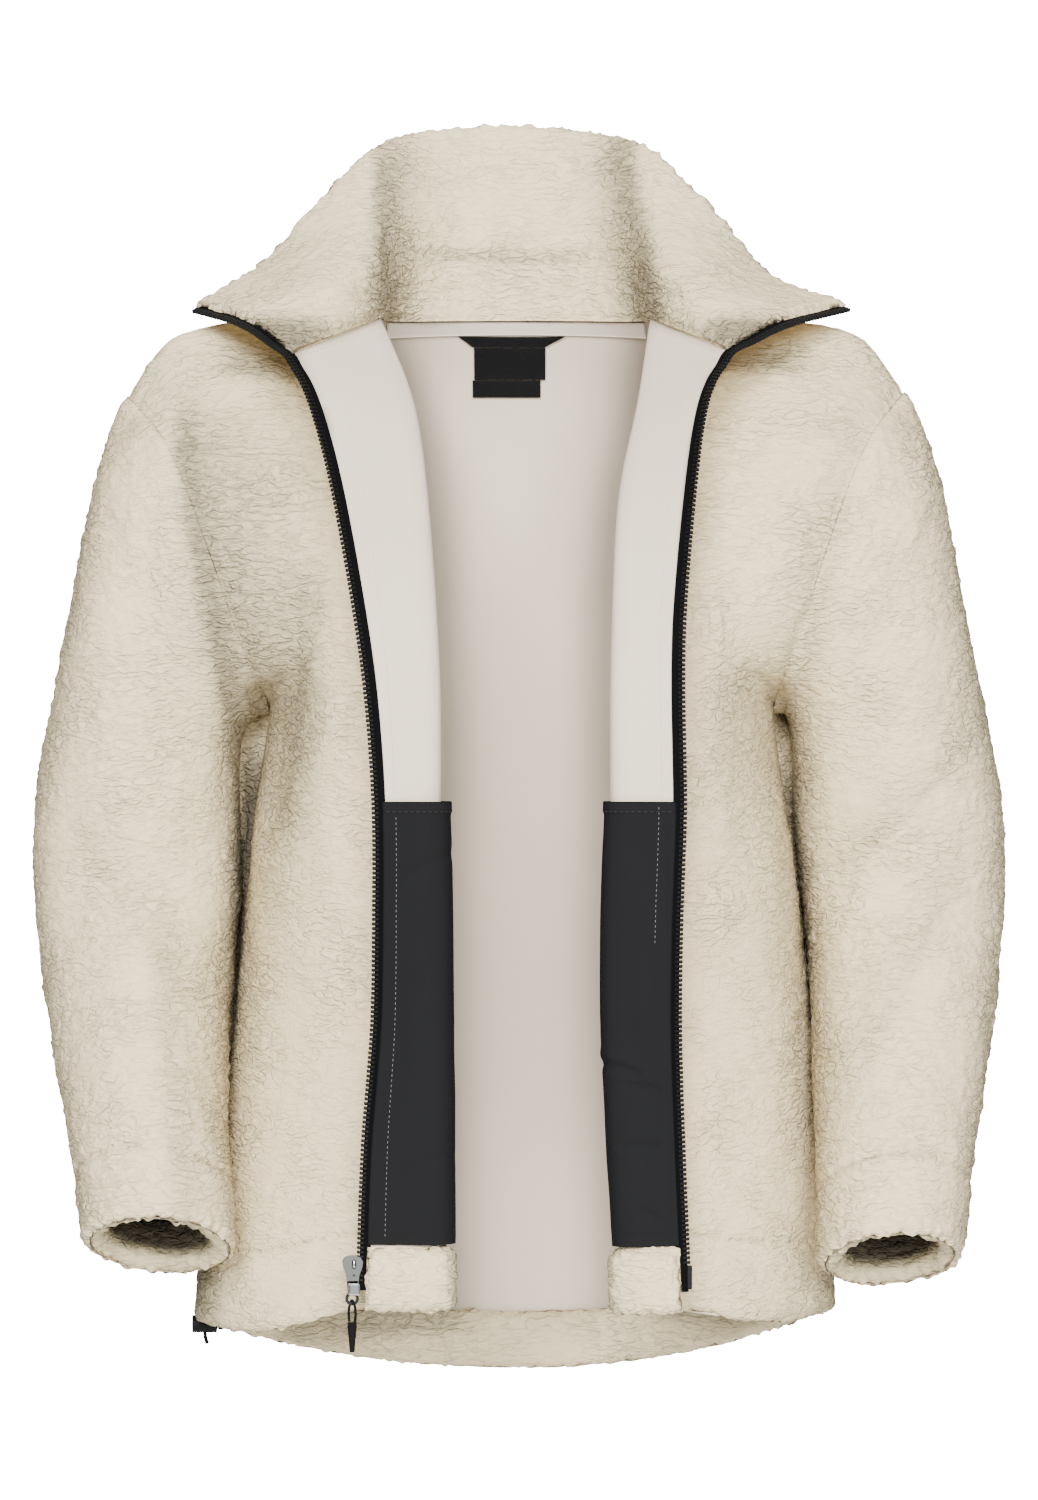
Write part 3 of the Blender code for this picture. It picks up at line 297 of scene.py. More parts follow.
def backHalf(side, front):
    # each row a cubic from the side edge to the middle line; the top row is the shoulder, then a quarter ellipse
    mirror = (sides[side], 1, 1)
    rows = cut["armholeRows"]
    armhole = np.stack([backArmhole[k] for k in "xyz"], axis=1) * mirror
    edge = smoothCurve(
        np.r_[0, backArmhole["row"], rows], np.r_[front[:1, 0], armhole, front[rows : rows + 1, 0]], np.arange(rows)
    )
    edge = np.r_[edge, front[rows:, 0]] * mirror
    t = np.linspace(0, 1, shoulderSteps + cut["backNeckSteps"] + 1)
    control = []
    for r in rowsOf(backMiddle):
        start, middle = edge[int(r["row"])], np.array([0, r["y"]])
        lead = math.radians(r["lead"])
        handle = r["full"] * (start[0] * math.cos(lead) + abs(r["y"] - start[1]) * math.sin(lead))
        leaving = np.array([-math.cos(lead), math.sin(lead)])
        plan = bezier(start[:2], start[:2] + handle * leaving, middle + (r["full"] * start[0], 0), middle, t)
        for key, far in cut["fullTo"].items():
            share = cut["underarm"][side] if key == "underarm" else 1
            plan[:, 0] += share * r[key] * np.sin(math.pi * np.clip(t / far, 0, 1)) ** 2
        control.append(np.column_stack([plan, start[2] + (r["z"] - start[2]) * np.sin(t * math.pi / 2) ** 1.5]))
    angle = np.linspace(0, math.pi / 2, cut["backNeckSteps"] + 1)[1:]
    neckX = front[0, shoulderSteps, 0] * sides[side]
    arc = [neckX * np.cos(angle), backMiddle["y"][0] * np.sin(angle), backMiddle["z"][0] * np.sin(angle)]
    control[0] = np.r_[front[0, : shoulderSteps + 1] * mirror, np.column_stack(arc)]
    grid = smoothCurve(backMiddle["row"], control, np.arange(cut["hemRow"] + 1))
    grid[:, 0] = edge
    return grid * mirror


def sleeveSurface(side, front, back):
    # ellipses whose long axis runs from the outer point to the inner one, faired into the armhole's loop
    mirror = np.array([sides[side], 1, 1])
    rows = cut["armholeRows"]
    armhole = np.r_[front[: rows + 1, 0], back[1:rows, 0][::-1]]
    s = sleeves[side]
    outer = np.column_stack([s["outerX"], s["middleY"], s["outerZ"]]) * mirror
    inner = np.column_stack([s["innerX"], s["middleY"], s["innerZ"]]) * mirror
    middle, across = (outer + inner) / 2, (outer - inner) / 2
    run = np.gradient(np.r_[armhole.mean(0)[None], middle], axis=0)[1:]
    depth = unit(np.cross(across, run)) * s["halfDepth"][:, None]
    depth *= -np.sign(depth[:, 1:2])
    angle = np.arange(2 * rows)[None, :, None] * math.pi / rows
    rings = middle[:, None] + across[:, None] * np.cos(angle) + depth[:, None] * np.sin(angle)
    share, out = cut["nearArmhole"]["share"], np.array(cut["nearArmhole"]["out"])
    near = armhole + share * (rings[0] - armhole) + out * mirror
    control = np.concatenate([armhole[None], near[None], rings])
    knots = np.r_[0, share, 1 : len(rings) + 1]
    steps = cut["ringsPerRow"]
    return smoothCurve(knots, control, np.arange(len(rings) * steps + 1) / steps)


def collarSurface(frontGrids, back):
    # smooth curves up from the neck seam, through a half-way line, to the top edge
    halves = []
    for side in sides:
        mirror, c = (sides[side], 1, 1), collars[side]
        steps = np.arange(cut["backNeckSteps"] + neckSteps + 1)
        lines = [np.stack([c[k + "X"], c[k + "Y"], c[k + "Z"]], axis=1) * mirror for k in ("half", "top")]
        halves.append([smoothCurve(c["step"], line, steps) for line in lines])
    foot = np.r_[
        frontGrids["right"][0, shoulderSteps:][::-1],
        back[0, shoulderSteps + 1 : -shoulderSteps - 1],
        frontGrids["left"][0, shoulderSteps:],
    ]
    rows = [foot] + [np.r_[halves[0][k][::-1], halves[1][k][1:]] for k in (0, 1)]
    return smoothCurve([0, 0.5, 1], rows, np.linspace(0, 1, cut["collarRows"] + 1))


def bellAlong(points, line):
    # a bell curve of the distance from a line in x and z, as seen from the front, times the line's rise
    start, end = np.array([line["x0"], line["z0"]]), np.array([line["x1"], line["z1"]])
    along = end - start
    place = points[..., [0, 2]] - start
    t = np.clip(place @ along / (along @ along), 0, 1)
    offLine = np.linalg.norm(place - t[..., None] * along, axis=-1)
    return line["rise"] * bell(offLine / line["width"])


def creased(grid, normals, foldTable):
    # each fold moves the cloth along its normal by its bell curve, on the face it is seen on, and not at seams
    rows, columns = grid.shape[:2]
    i, j = np.meshgrid(np.arange(rows), np.arange(columns), indexing="ij")
    fade = np.clip(np.minimum(i, rows - 1 - i) / 2, 0, 1)
    if not np.allclose(grid[:, 0], grid[:, -1], atol=40):
        fade = fade * np.clip(np.minimum(j, columns - 1 - j) / 2, 0, 1)
    moved = grid.copy()
    for f in rowsOf(foldTable):
        facing = np.clip(normals[..., 1] * f["face"] * 2, 0, 1)
        moved += normals * (bellAlong(grid, f) * facing * fade)[..., None]
    return moved


def seamDirections(panels):
    # one cloth thickness at each point; points shared along a seam get one mitred direction
    shared = {}
    for grid, normals in panels.values():
        for point, normal in zip(np.round(grid.reshape(-1, 3), 2), normals.reshape(-1, 3)):
            shared.setdefault(tuple(point), []).append(normal)
    directions = {}
    for name, (grid, normals) in panels.items():
        result = normals.reshape(-1, 3).copy()
        for k, point in enumerate(np.round(grid.reshape(-1, 3), 2)):
            group = shared[tuple(point)]
            if len(group) > 1:
                common = unit(np.mean(group, axis=0))
                least = min(float(common @ n) for n in group)
                result[k] = common * min(cut["mostMitre"], 1 / max(least, 0.5))
        directions[name] = result.reshape(grid.shape)
    return directions


frontGrids = {side: frontSurface(side) for side in sides}
halves = {side: backHalf(side, frontGrids[side]) for side in sides}
backGrid = np.concatenate([halves["right"], halves["left"][:, ::-1][:, 1:]], axis=1)
panelGrids = {
    "front_right": (frontGrids["right"], 1),  # the sign that turns the grid's normals to the pile side
    "front_left": (frontGrids["left"], -1),
    "back": (backGrid, -1),
    "sleeve_right": (sleeveSurface("right", frontGrids["right"], halves["right"]), 1),
    "sleeve_left": (sleeveSurface("left", frontGrids["left"], halves["left"]), -1),
    "collar_outer": (collarSurface(frontGrids, backGrid), 1),
}
panels = {}
for name, (grid, sign) in panelGrids.items():
    joined = name.startswith("sleeve")
    if name in folds:
        grid = creased(grid, gridNormals(grid, joined) * sign, folds[name])
    panels[name] = (grid, gridNormals(grid, joined) * sign)
directions = seamDirections(panels)
pressedPlaces = []
for front in frontGrids.values():
    pressedPlaces += [(front[cut["armholeRows"], 0], cut["armpit"]), (front[0, shoulderSteps], cut["neck"])]
for name, (grid, _) in panels.items():
    for place, (least, reach) in pressedPlaces:
        distance = np.linalg.norm(grid - place, axis=-1, keepdims=True)
        directions[name] = directions[name] * np.clip(least + (1 - least) * distance / reach, least, 1)
print("panels worked out")


def alongRows(grid, at, joined=False):
    # a Catmull-Rom curve through the grid's rows, straight on past its ends
    at = np.asarray(at, float)
    count = len(grid)
    if joined:
        padded = np.concatenate([grid[-1:], grid, grid[:2]])
        low = np.floor(at).astype(int) % count
        t, beyond = at - np.floor(at), np.zeros(len(at))
    else:
        padded = np.concatenate([2 * grid[:1] - grid[1:2], grid, 2 * grid[-1:] - grid[-2:-1]])
        inside = np.clip(at, 0, count - 1)
        low = np.minimum(inside.astype(int), count - 2)
        t, beyond = inside - low, at - inside
    weights = np.stack([-t + 2 * t**2 - t**3, 2 - 5 * t**2 + 3 * t**3, t + 4 * t**2 - 3 * t**3, t**3 - t**2]) / 2
    shape = (-1,) + (1,) * (grid.ndim - 1)
    result = sum(weights[k].reshape(shape) * padded[low + k] for k in range(4))
    if not joined:
        ends = np.where((at > count / 2).reshape(shape), grid[-1] - grid[-2], grid[1] - grid[0])
        result = result + beyond.reshape(shape) * ends
    return result


def fine(grid, rowsAt, columnsAt, joined=False):
    down = alongRows(grid, rowsAt)
    return alongRows(down.swapaxes(0, 1), columnsAt, joined).swapaxes(0, 1)


def spaced(first, last, perStep, roundFirst=0.0, roundLast=0.0, roundSteps=7):
    # evenly spaced places, closer together towards a rounded end, by a cosine
    curve = 1 - np.cos(np.linspace(0, math.pi / 2, roundSteps + 1))
    low, high = first + roundFirst, last - roundLast
    even = np.linspace(low, high, max(2, int(round((high - low) * perStep)) + 1))
    parts = [even]
    if roundFirst:
        parts.insert(0, first + roundFirst * curve[:-1])
    if roundLast:
        parts.append(last - roundLast * curve[:-1][::-1])
    return np.concatenate(parts)


randomDirections = unit(np.random.default_rng(11).normal(size=(256, 3)))


def gradientNoise(place):
    # smooth noise: eight corners' random slopes, blended by a quintic, about -1 to 1
    cell = np.floor(place).astype(np.int64)
    f = place - cell
    u = f**3 * (f * (6 * f - 15) + 10)
    total = np.zeros(place.shape[:-1])
    for corner in np.ndindex(2, 2, 2):
        c = cell + corner
        key = (c[..., 0] * 73856093 ^ c[..., 1] * 19349663 ^ c[..., 2] * 83492791) >> 3
        slope = randomDirections[key % 256]
        weight = np.prod(np.where(corner, u, 1 - u), axis=-1)
        total += weight * (slope * (f - corner)).sum(-1)
    return total * 1.6


def edgeDistance(points, axis, fromEnd):
    # how far each point is from the grid's edge, along its line of the grid
    steps = np.linalg.norm(np.diff(points, axis=axis), axis=-1)
    if fromEnd:
        steps = np.flip(steps, axis=axis)
    total = np.cumsum(steps, axis=axis)
    zero = np.zeros_like(np.take(total, [0], axis=axis))
    total = np.concatenate([zero, total], axis=axis)
    return np.flip(total, axis=axis) if fromEnd else total


def lengthAlong(points):
    # how far each point of a line is from its first
    return np.r_[0, np.cumsum(np.linalg.norm(np.diff(points, axis=0), axis=1))]


def quadsOf(index, joined=False):
    # four corners of each cell of a grid of vertex numbers
    if joined:
        index = np.concatenate([index, index[:, :1]], axis=1)
    return np.stack([index[:-1, :-1], index[:-1, 1:], index[1:, 1:], index[1:, :-1]], axis=-1).reshape(-1, 4)


def placed(name, data):
    obj = bpy.data.objects.new(name, data)
    bpy.context.scene.collection.objects.link(obj)
    return obj


def newObject(name, points, faces, materials, slots=None, smooth=True):
    mesh = bpy.data.meshes.new(name)
    mesh.from_pydata((np.asarray(points) * mm).tolist(), [], faces)
    for made in materials:
        mesh.materials.append(made)
    if slots is not None:
        mesh.polygons.foreach_set("material_index", np.asarray(slots, np.int32))
    if smooth:
        mesh.shade_smooth()
    mesh.update()
    return placed(name, mesh)


def volumeOf(points, faces):
    # the sum of the volumes from the middle to each face, as fans of triangles
    places = points - points.mean(axis=0)
    fans = [(f[0], f[k], f[k + 1]) for f in faces if len(f) != 4 for k in range(1, len(f) - 1)]
    quads = np.array([f for f in faces if len(f) == 4])
    triangles = np.concatenate([quads[:, [0, 1, 2]], quads[:, [0, 2, 3]]] + ([np.array(fans)] if fans else []))
    a, b, c = (places[triangles[:, k]] for k in range(3))
    return (a * np.cross(b, c)).sum() / 6


def outwards(points, faces):
    return [f[::-1] for f in faces] if volumeOf(points, faces) < 0 else faces


def closedCloth(name, outside, inside, rowPick, columnPick, joined, materials):
    # a fine outer grid and a coarse inner one, joined round their edges by strips
    rows, columns = outside.shape[:2]
    outer = np.arange(rows * columns).reshape(rows, columns)
    inner = rows * columns + np.arange(len(rowPick) * len(columnPick)).reshape(len(rowPick), -1)
    points = np.concatenate([outside.reshape(-1, 3), inside.reshape(-1, 3)])
    outerFaces, innerFaces = quadsOf(outer, joined).tolist(), quadsOf(inner, joined)[:, ::-1].tolist()
    closing, ring, innerRing = list(columnPick), outer, inner
    if joined:
        closing, ring, innerRing = closing + [columns], np.c_[outer, outer[:, :1]], np.c_[inner, inner[:, :1]]
    borders = [(ring[0], innerRing[0], closing, False), (ring[-1], innerRing[-1], closing, True)]
    if not joined:
        borders += [(outer[:, 0], inner[:, 0], rowPick, True), (outer[:, -1], inner[:, -1], rowPick, False)]
    strips = []
    for fineLine, coarseLine, at, turned in borders:
        for k in range(len(at) - 1):
            face = fineLine[at[k] : at[k + 1] + 1].tolist() + [int(coarseLine[k + 1]), int(coarseLine[k])]
            strips.append(face[::-1] if turned else face)
    faces = outwards(points, outerFaces + innerFaces + strips)
    slots = np.zeros(len(faces), int)
    slots[len(outerFaces) : len(outerFaces) + len(innerFaces)] = 1
    return newObject(name, points, faces, materials, slots)


def picks(count, every):
    # every so many of a line's points, and its last one
    return list(range(0, count - 1, every)) + [count - 1]


def addNode(tree, kind, output, settings=None, inputs=None):
    # settings come first, since they can change the sockets; each socket gets a link or a value of its own
    node = tree.nodes.new("ShaderNode" + kind)
    for key, value in (settings or {}).items():
        setattr(node, key, value)
    for key, value in (inputs or {}).items():
        if isinstance(value, Link):
            tree.links.new(value.socket, node.inputs[key])
        else:
            node.inputs[key].default_value = value
    return Link(tree, node.outputs[output])


class Link:
    # a node's output; maths on it adds Math nodes
    def __init__(self, tree, socket):
        self.tree, self.socket = tree, socket

    def maths(self, operation, *values):
        return addNode(self.tree, "Math", 0, {"operation": operation}, dict(enumerate(values)))

    def __add__(self, other):
        return self.maths("ADD", self, other)

    def __sub__(self, other):
        return self.maths("SUBTRACT", self, other)

    def __mul__(self, other):
        return self.maths("MULTIPLY", self, other)

    def __rsub__(self, other):
        return self.maths("SUBTRACT", other, self)

    def __abs__(self):
        return self.maths("ABSOLUTE", self)

    def limited(self, low=0.0, high=1.0):
        return self.maths("MINIMUM", self.maths("MAXIMUM", self, low), high)


class Finish:
    # a material with a Principled shader, and the nodes that feed it
    def __init__(self, name, **constants):
        self.material = bpy.data.materials.new(name)
        self.material.use_nodes = True
        self.tree = self.material.node_tree
        self.shader = self.tree.nodes["Principled BSDF"]
        for socket, value in constants.items():
            self.shader.inputs[socket.replace("_", " ")].default_value = value

    def add(self, kind, output, settings=None, inputs=None):
        return addNode(self.tree, kind, output, settings, inputs)

    def place(self):
        # Object coordinates, in metres
        return self.add("TexCoord", "Object")

    def painted(self, name):
        # a number that the mesh carries at each of its points
        return self.add("Attribute", "Fac", {"attribute_name": name})

    def noise(self, where, scale, detail, output="Fac", **more):
        return self.add("TexNoise", output, None, {"Vector": where, "Scale": scale, "Detail": detail, **more})

    def mixColours(self, factor, first, second):
        # the colour sockets of a Mix node are its sixth and seventh inputs
        settings = {"data_type": "RGBA", "clamp_factor": True}
        return self.add("Mix", 2, settings, {0: factor, 6: first, 7: second})

    def feed(self, socket, link):
        self.tree.links.new(link.socket, self.shader.inputs[socket])

    def feedBump(self, height, strength, distance):
        inputs = {"Height": height, "Strength": strength, "Distance": distance}
        self.feed("Normal", self.add("Bump", "Normal", None, inputs))


def linear(red, green, blue):
    # screen values from 0 to 255, as the light values that shaders take
    values = [v / 255 for v in (red, green, blue)]
    return tuple(v / 12.92 if v <= 0.04045 else ((v + 0.055) / 1.055) ** 2.4 for v in values) + (1.0,)


pileLook = {
    "light": (245, 225, 181),
    # painted shade: the colour that creases and crevices between curls darken to
    "crease": (140, 131, 111),
    "shadow": (74, 68, 58),
    "curl": (0.0125, 0.0125, 0.0043),  # size of one curl, in metres
    "wander": (0.0075, 0.0075, 0.0036),  # how far noise moves it
    "creases": {"least": 0.16, "usual": 0.29, "most": 0.85, "patchy": 1.2, "inShade": 1.25},  # how deep they are, as bump and as painted shade, and deeper where the painted shade is
    "bumpDepth": 0.0025,
}


def pileFinish():
    # curls: warped noise whose middle value is a wandering line, so that line becomes one of the narrow creases,
    # darkened as painted shade
    finish, deep = Finish("pile fleece", Roughness=0.95, Specular_IOR_Level=0.08), pileLook["creases"]
    here = finish.place()
    warp = {0: finish.noise(here, 150.0, 1.0, "Color"), 1: pileLook["wander"], 2: here}
    offset = finish.add("VectorMath", "Vector", {"operation": "MULTIPLY_ADD"}, warp)
    perCurl = tuple(1 / size for size in pileLook["curl"])
    scaled = finish.add("Mapping", "Vector", None, {"Vector": offset, "Scale": perCurl})
    wide, narrow = (abs(finish.noise(scaled, scale, 0.5) - 0.5) for scale in (1.0, 1.9))
    patches = finish.noise(here, 26.0, 2.0)
    shade, creviceShade = finish.painted("shade"), finish.painted("creviceShade")
    curl = (wide * 12).limited() * 0.6 + (narrow * 9).limited() * 0.4
    depth = (patches - 0.44) * deep["patchy"] + shade * deep["inShade"] + deep["usual"]
    depth = depth.limited(deep["least"], deep["most"])
    crease = (1 - curl) * depth
    grain, broad = finish.noise(here, 1000.0, 3.0, Roughness=0.65), finish.noise(here, 18.0, 2.0)
    # painted shade: creases and crevices darken the pile, and the noises add random tone
    dark = (crease * 0.64 + creviceShade * depth * 0.4 + (broad - 0.5) * 0.16 + (grain - 0.5) * 0.12).limited()
    colour = finish.mixColours(dark, linear(*pileLook["light"]), linear(*pileLook["crease"]))
    finish.feed("Base Color", finish.mixColours(shade.limited(0, 0.95), colour, linear(*pileLook["shadow"])))
    finish.feedBump((1 - crease) * 0.8 + grain * 0.2, 1.0, pileLook["bumpDepth"])
    return finish.material


innerLook = {"light": (247, 231, 208), "dark": (239, 220, 195), "shadow": (84, 74, 62), "bumpDepth": 0.0004}


def innerFinish():
    # a fine knit: small even noise, under slow unevenness
    finish = Finish("smooth inner face", Roughness=0.9, Specular_IOR_Level=0.15, Sheen_Weight=0.2)
    here = finish.place()
    tone = ((finish.noise(here, 14.0, 1.0) - 0.5) * 0.8 + 0.4).limited()
    colour = finish.mixColours(tone, linear(*innerLook["light"]), linear(*innerLook["dark"]))
    shade = finish.painted("shade").limited(0, 0.95)
    finish.feed("Base Color", finish.mixColours(shade, colour, linear(*innerLook["shadow"])))
    finish.feedBump(finish.noise(here, 1500.0, 2.0), 0.25, innerLook["bumpDepth"])
    return finish.material


def plainFinish(name, colour, roughness, metallic=0.0, bumpScale=0.0, bumpDepth=0.0, **more):
    # one colour, with a fine even grain where a bump is given
    finish = Finish(name, Base_Color=linear(*colour), Roughness=roughness, Metallic=metallic, **more)
    if bumpScale:
        finish.feedBump(finish.noise(finish.place(), bumpScale, 2.0), 0.4, bumpDepth)
    return finish.material


pile, inner = pileFinish(), innerFinish()
finishes = {
    "pocket": plainFinish("pocket cloth", (27, 27, 28), 0.9, 0, 2200.0, 0.0003, Specular_IOR_Level=0.06),
    "tape": plainFinish("neck tape", (226, 212, 195), 0.85, 0, 1600.0, 0.0003),
    "label": plainFinish("label satin", (20, 20, 21), 0.6, 0, 2400.0, 0.0002, Specular_IOR_Level=0.1),
    "zipTape": plainFinish("zip tape", (9, 9, 10), 0.9, 0, 2000.0, 0.0003, Specular_IOR_Level=0.06),
    "teeth": plainFinish("moulded teeth", (11, 11, 12), 0.55, Specular_IOR_Level=0.2),
    "slider": plainFinish("satin metal", (112, 112, 110), 0.36, 1.0),
    "bright": plainFinish("bright metal", (214, 214, 212), 0.22, 1.0),
    # blackened metal, also used as painted shade for the slider's slot and hole
    "darkMetalAndHoleShade": plainFinish("blackened metal", (30, 30, 31), 0.4, 0.6),
    "cord": plainFinish("braided cord", (10, 10, 11), 0.8, Specular_IOR_Level=0.15),
    "paleThread": plainFinish("pale thread", (128, 127, 124), 0.8),
    "darkThread": plainFinish("dark thread", (30, 30, 31), 0.7),
    "creamThread": plainFinish("cream thread", (222, 206, 184), 0.8),
    "plastic": plainFinish("moulded plastic", (9, 9, 9), 0.6, Specular_IOR_Level=0.2),
}
print("finishes made")

view = {"lens": 125.9, "sensor": 36.0, "place": (0, -3.2, -0.2623)}  # the place is in metres
camera = placed("camera", bpy.data.cameras.new("camera"))
camera.data.lens, camera.data.sensor_width, camera.data.clip_end = view["lens"], view["sensor"], 50
camera.location, camera.rotation_euler = view["place"], (math.pi / 2, 0, 0)
bpy.context.scene.camera = camera

# the hem drawcord's free end, as it hangs from the side seam through its lock
cordSizes = {"diameter": 2.4, "exitZ": -590.8, "lockZ": -612.8}
corner = frontGrids["right"][-1, 0]
x, y, z = corner[0] + 3, corner[1], cordSizes["lockZ"]
route = [
    (x, y, cordSizes["exitZ"]),
    (x - 0.6, y, cordSizes["exitZ"] - 5.2),
    (x - 0.8, y, z + 9.0),
    (x, y, z + 3.0),
    (x, y, z - 3.0),
    (x + 0.4, y, z - 8.0),
    (x + 1.6, y, z - 12.2),
]
points = smoothCurve(np.arange(len(route)), route, np.linspace(0, len(route) - 1, 25)) * mm
curve = bpy.data.curves.new("drawcord", "CURVE")
curve.dimensions, curve.bevel_depth, curve.bevel_resolution = "3D", cordSizes["diameter"] / 2 * mm, 4
curve.use_fill_caps = True
spline = curve.splines.new("POLY")
spline.points.add(len(points) - 1)
spline.points.foreach_set("co", np.column_stack([points, np.ones(len(points))]).ravel())
curve.materials.append(finishes["cord"])
cord = placed("hemCord", curve)
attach(cord, "jacket")
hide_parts("drawcord")
print("camera and cord made")

curls = {
    "size": (10.0, 10.0, 4.5),  # of a curl: across, through and up
    "rise": 0.8,
    "small": 0.55,  # size of the small curls among them, as a share
    "wander": (13.0, 0.4),  # size and reach of what moves them about
    "tuft": (6.5, 1.7),  # size and rise
    "edgeTuft": (4.4, 2.4),  # size and rise of the tufts along free edges
    "edgeReach": 6.0,  # how far in from an edge they go
    "billow": (34.0, 1.1),  # size and rise of the broad unevenness
    "worn": {"middle": (-101, -592), "reach": (20, 18), "calm": 0.9},  # where the hem is flat under the pull
}
# hollows where the pile lies in shade: a middle, a reach each way, and how dark
hollows = table(
    "x y z reachX reachY reachZ dark",
    (-162, 16, -300, 9, 34, 40, 0.9),
    (165, 16, -304, 6, 34, 30, 0.55),
    (-168, 10, -366, 9, 32, 56, 0.8),
    (173, 10, -366, 7, 32, 50, 0.6),
    (-178, 4, -484, 8, 32, 80, 0.66),
    (182, 4, -484, 6, 32, 80, 0.46),
    (-162, -60, -150, 40, 60, 84, 0.15),
    (-12, 74, 45, 64, 34, 5, 0.22),
    (-148, -62, -20, 36, 46, 17, 0.7),
    (142, -62, -18, 34, 46, 15, 0.7),
    (-197, -12, -584, 18, 50, 20, 0.6),
    (-78, 104, -618, 44, 50, 12, 0.42),
    (112, 104, -612, 30, 50, 10, 0.34),
)
# large folds' shaded sides: a line in x and z, which way the shade spreads, how far and how dark
shadeColumns = "x0 z0 x1 z1 towards reach dark"
# painted shade beside the arm's and sleeves' folds
armCreaseShade = {
    "Right": [
        (-200, -84, -172, -244, 1, 42, 0.32),
        (-120, -176, -138, -290, -1, 30, 0.28),
        (-200, -84, -171, -250, 1, 9, 0.3),
    ],
    "Left": [(200, -78, 164, -250, -1, 20, 0.13), (112, -120, 128, -260, -1, 30, 0.1)],
}
sleeveCreaseShade = {
    "Right": [(-262, -315, -205, -400, 1, 26, 0.1), (-214, -400, -196, -520, 1, 16, 0.16)],
    "Left": [(280, -250, 200, -330, -1, 24, 0.14), (262, -340, 200, -450, -1, 26, 0.12)],
}
shadedSides = {"collarInner": table(shadeColumns, (-84, 92, -82, 4, 1, 17, 0.5), (66, 102, 81, 4, -1, 17, 0.55))}
for end in ("Right", "Left"):
    shadedSides["front" + end] = table(shadeColumns, *armCreaseShade[end])
    shadedSides["sleeve" + end] = table(shadeColumns, *armCreaseShade[end], *sleeveCreaseShade[end])
pileShade = {
    "rim": (0.7, 0.5),  # painted shade on faces turned sideways: from how little a face turns to the front or back, and how dark
    "behindFold": 6.5,  # how far shade goes on a fold's lit side
    "pastFold": 26.0,  # and past its ends
}
# painted shade on the plain inner face
innerShade = {
    "sleeve": 0.86,
    "other": 0.13,
    "neck": {"dark": 0.1, "from": -230, "over": 110},  # the back's top gets this, fading downwards
    "besideFronts": {"dark": 0.66, "reach": 20.0, "out": 1.07},  # the back behind the fronts' turned edges
}
seamValley = {"depth": 0.34, "width": 4.0}
# the sewn hem line: its valley, and painted shade in dashes along its dent
sewnLine = {"depth": 0.28, "width": 3.0, "dark": 0.26, "thread": 1.5, "stitch": (3.4, 3.4, 9)}
cuffInsideShade = {"dark": 0.93, "from": 5.5, "over": 7.0}  # painted shade inside the cuff: how dark it gets, and how far in from the edge


def pileRise(place, nearEdge):
    # the size of smooth noise, so its mounds meet in creases where the noise crosses zero
    wander, far = curls["wander"]
    wobble = np.stack([gradientNoise(place / wander + k * 17.3) for k in range(3)], axis=-1)
    curl = np.abs(gradientNoise(place / curls["size"] + wobble * far))
    small = np.abs(gradientNoise(place / (np.array(curls["size"]) * curls["small"]) + 41.7))
    tuft = np.clip(gradientNoise(place / curls["tuft"][0] + 91.1) - 0.12, 0, 1)
    broad = gradientNoise(place / curls["billow"][0] + 7.7)
    height = curls["rise"] * (1.5 * curl + 0.5 * small) + curls["tuft"][1] * tuft + curls["billow"][1] * broad
    edgeSize, edgeRise = curls["edgeTuft"]
    height = height + edgeRise * nearEdge * gradientNoise(place / edgeSize + 23.9)
    # painted shade in the crevices between curls, where the curls' noise is near zero
    creviceShade = np.clip(1 - curl * 3.4, 0, 1) * 0.6 + np.clip(1 - small * 4, 0, 1) * 0.25
    return height - 0.6, creviceShade


def shadeAt(place, normals, name):
    # painted shade: what faces turned sideways, every one of the hollows and every shaded side take from the light,
    # as one less what is left
    least, rim = pileShade["rim"]
    lit = 1 - rim * np.clip(1 - np.abs(normals[..., 1]) / least, 0, 1) * np.abs(normals[..., 0])
    facing = np.clip((0.3 - normals[..., 1]) / 0.4, 0, 1)
    for h in rowsOf(hollows):
        gap = (place - (h["x"], h["y"], h["z"])) / (h["reachX"], h["reachY"], h["reachZ"])
        lit *= 1 - h["dark"] * np.exp(-(gap**4).sum(-1)) * facing
    for f in rowsOf(shadedSides[name]) if name in shadedSides else ():
        start, along = np.array([f["x0"], f["z0"]]), np.array([f["x1"] - f["x0"], f["z1"] - f["z0"]])
        t = (place[..., 2] - start[1]) / along[1]
        past = np.clip(np.maximum(-t, t - 1), 0, None) * abs(along[1]) / pileShade["pastFold"]
        off = (place[..., 0] - start[0] - np.clip(t, 0, 1) * along[0]) * f["towards"]
        spread = np.exp(-((off / np.where(off > 0, f["reach"], pileShade["behindFold"])) ** 2) - past**2)
        lit *= 1 - f["dark"] * spread * np.clip(-normals[..., 1] * 3, 0, 1)
    return 1 - lit


def insideShade(place, name):
    # painted shade on the plain side: one value inside a sleeve and one elsewhere; on the back, darker towards its
    # top and a bell curve in from each front's turned edge
    if name != "backPanel":
        return np.full(place.shape[:-1], innerShade["sleeve" if name.startswith("sleeve") else "other"])
    neck, beside = innerShade["neck"], innerShade["besideFronts"]
    dark = neck["dark"] * np.clip((place[..., 2] - neck["from"]) / neck["over"], 0, 1)
    for side in sides:
        line = frontGrids[side][::-1, shoulderSteps]
        edge = np.abs(np.interp(place[..., 2], line[:, 2], line[:, 0])) * beside["out"]
        off = np.clip(edge - place[..., 0] * sides[side], 0, None)
        dark = np.maximum(dark, beside["dark"] * bell(off / beside["reach"]))
    return dark


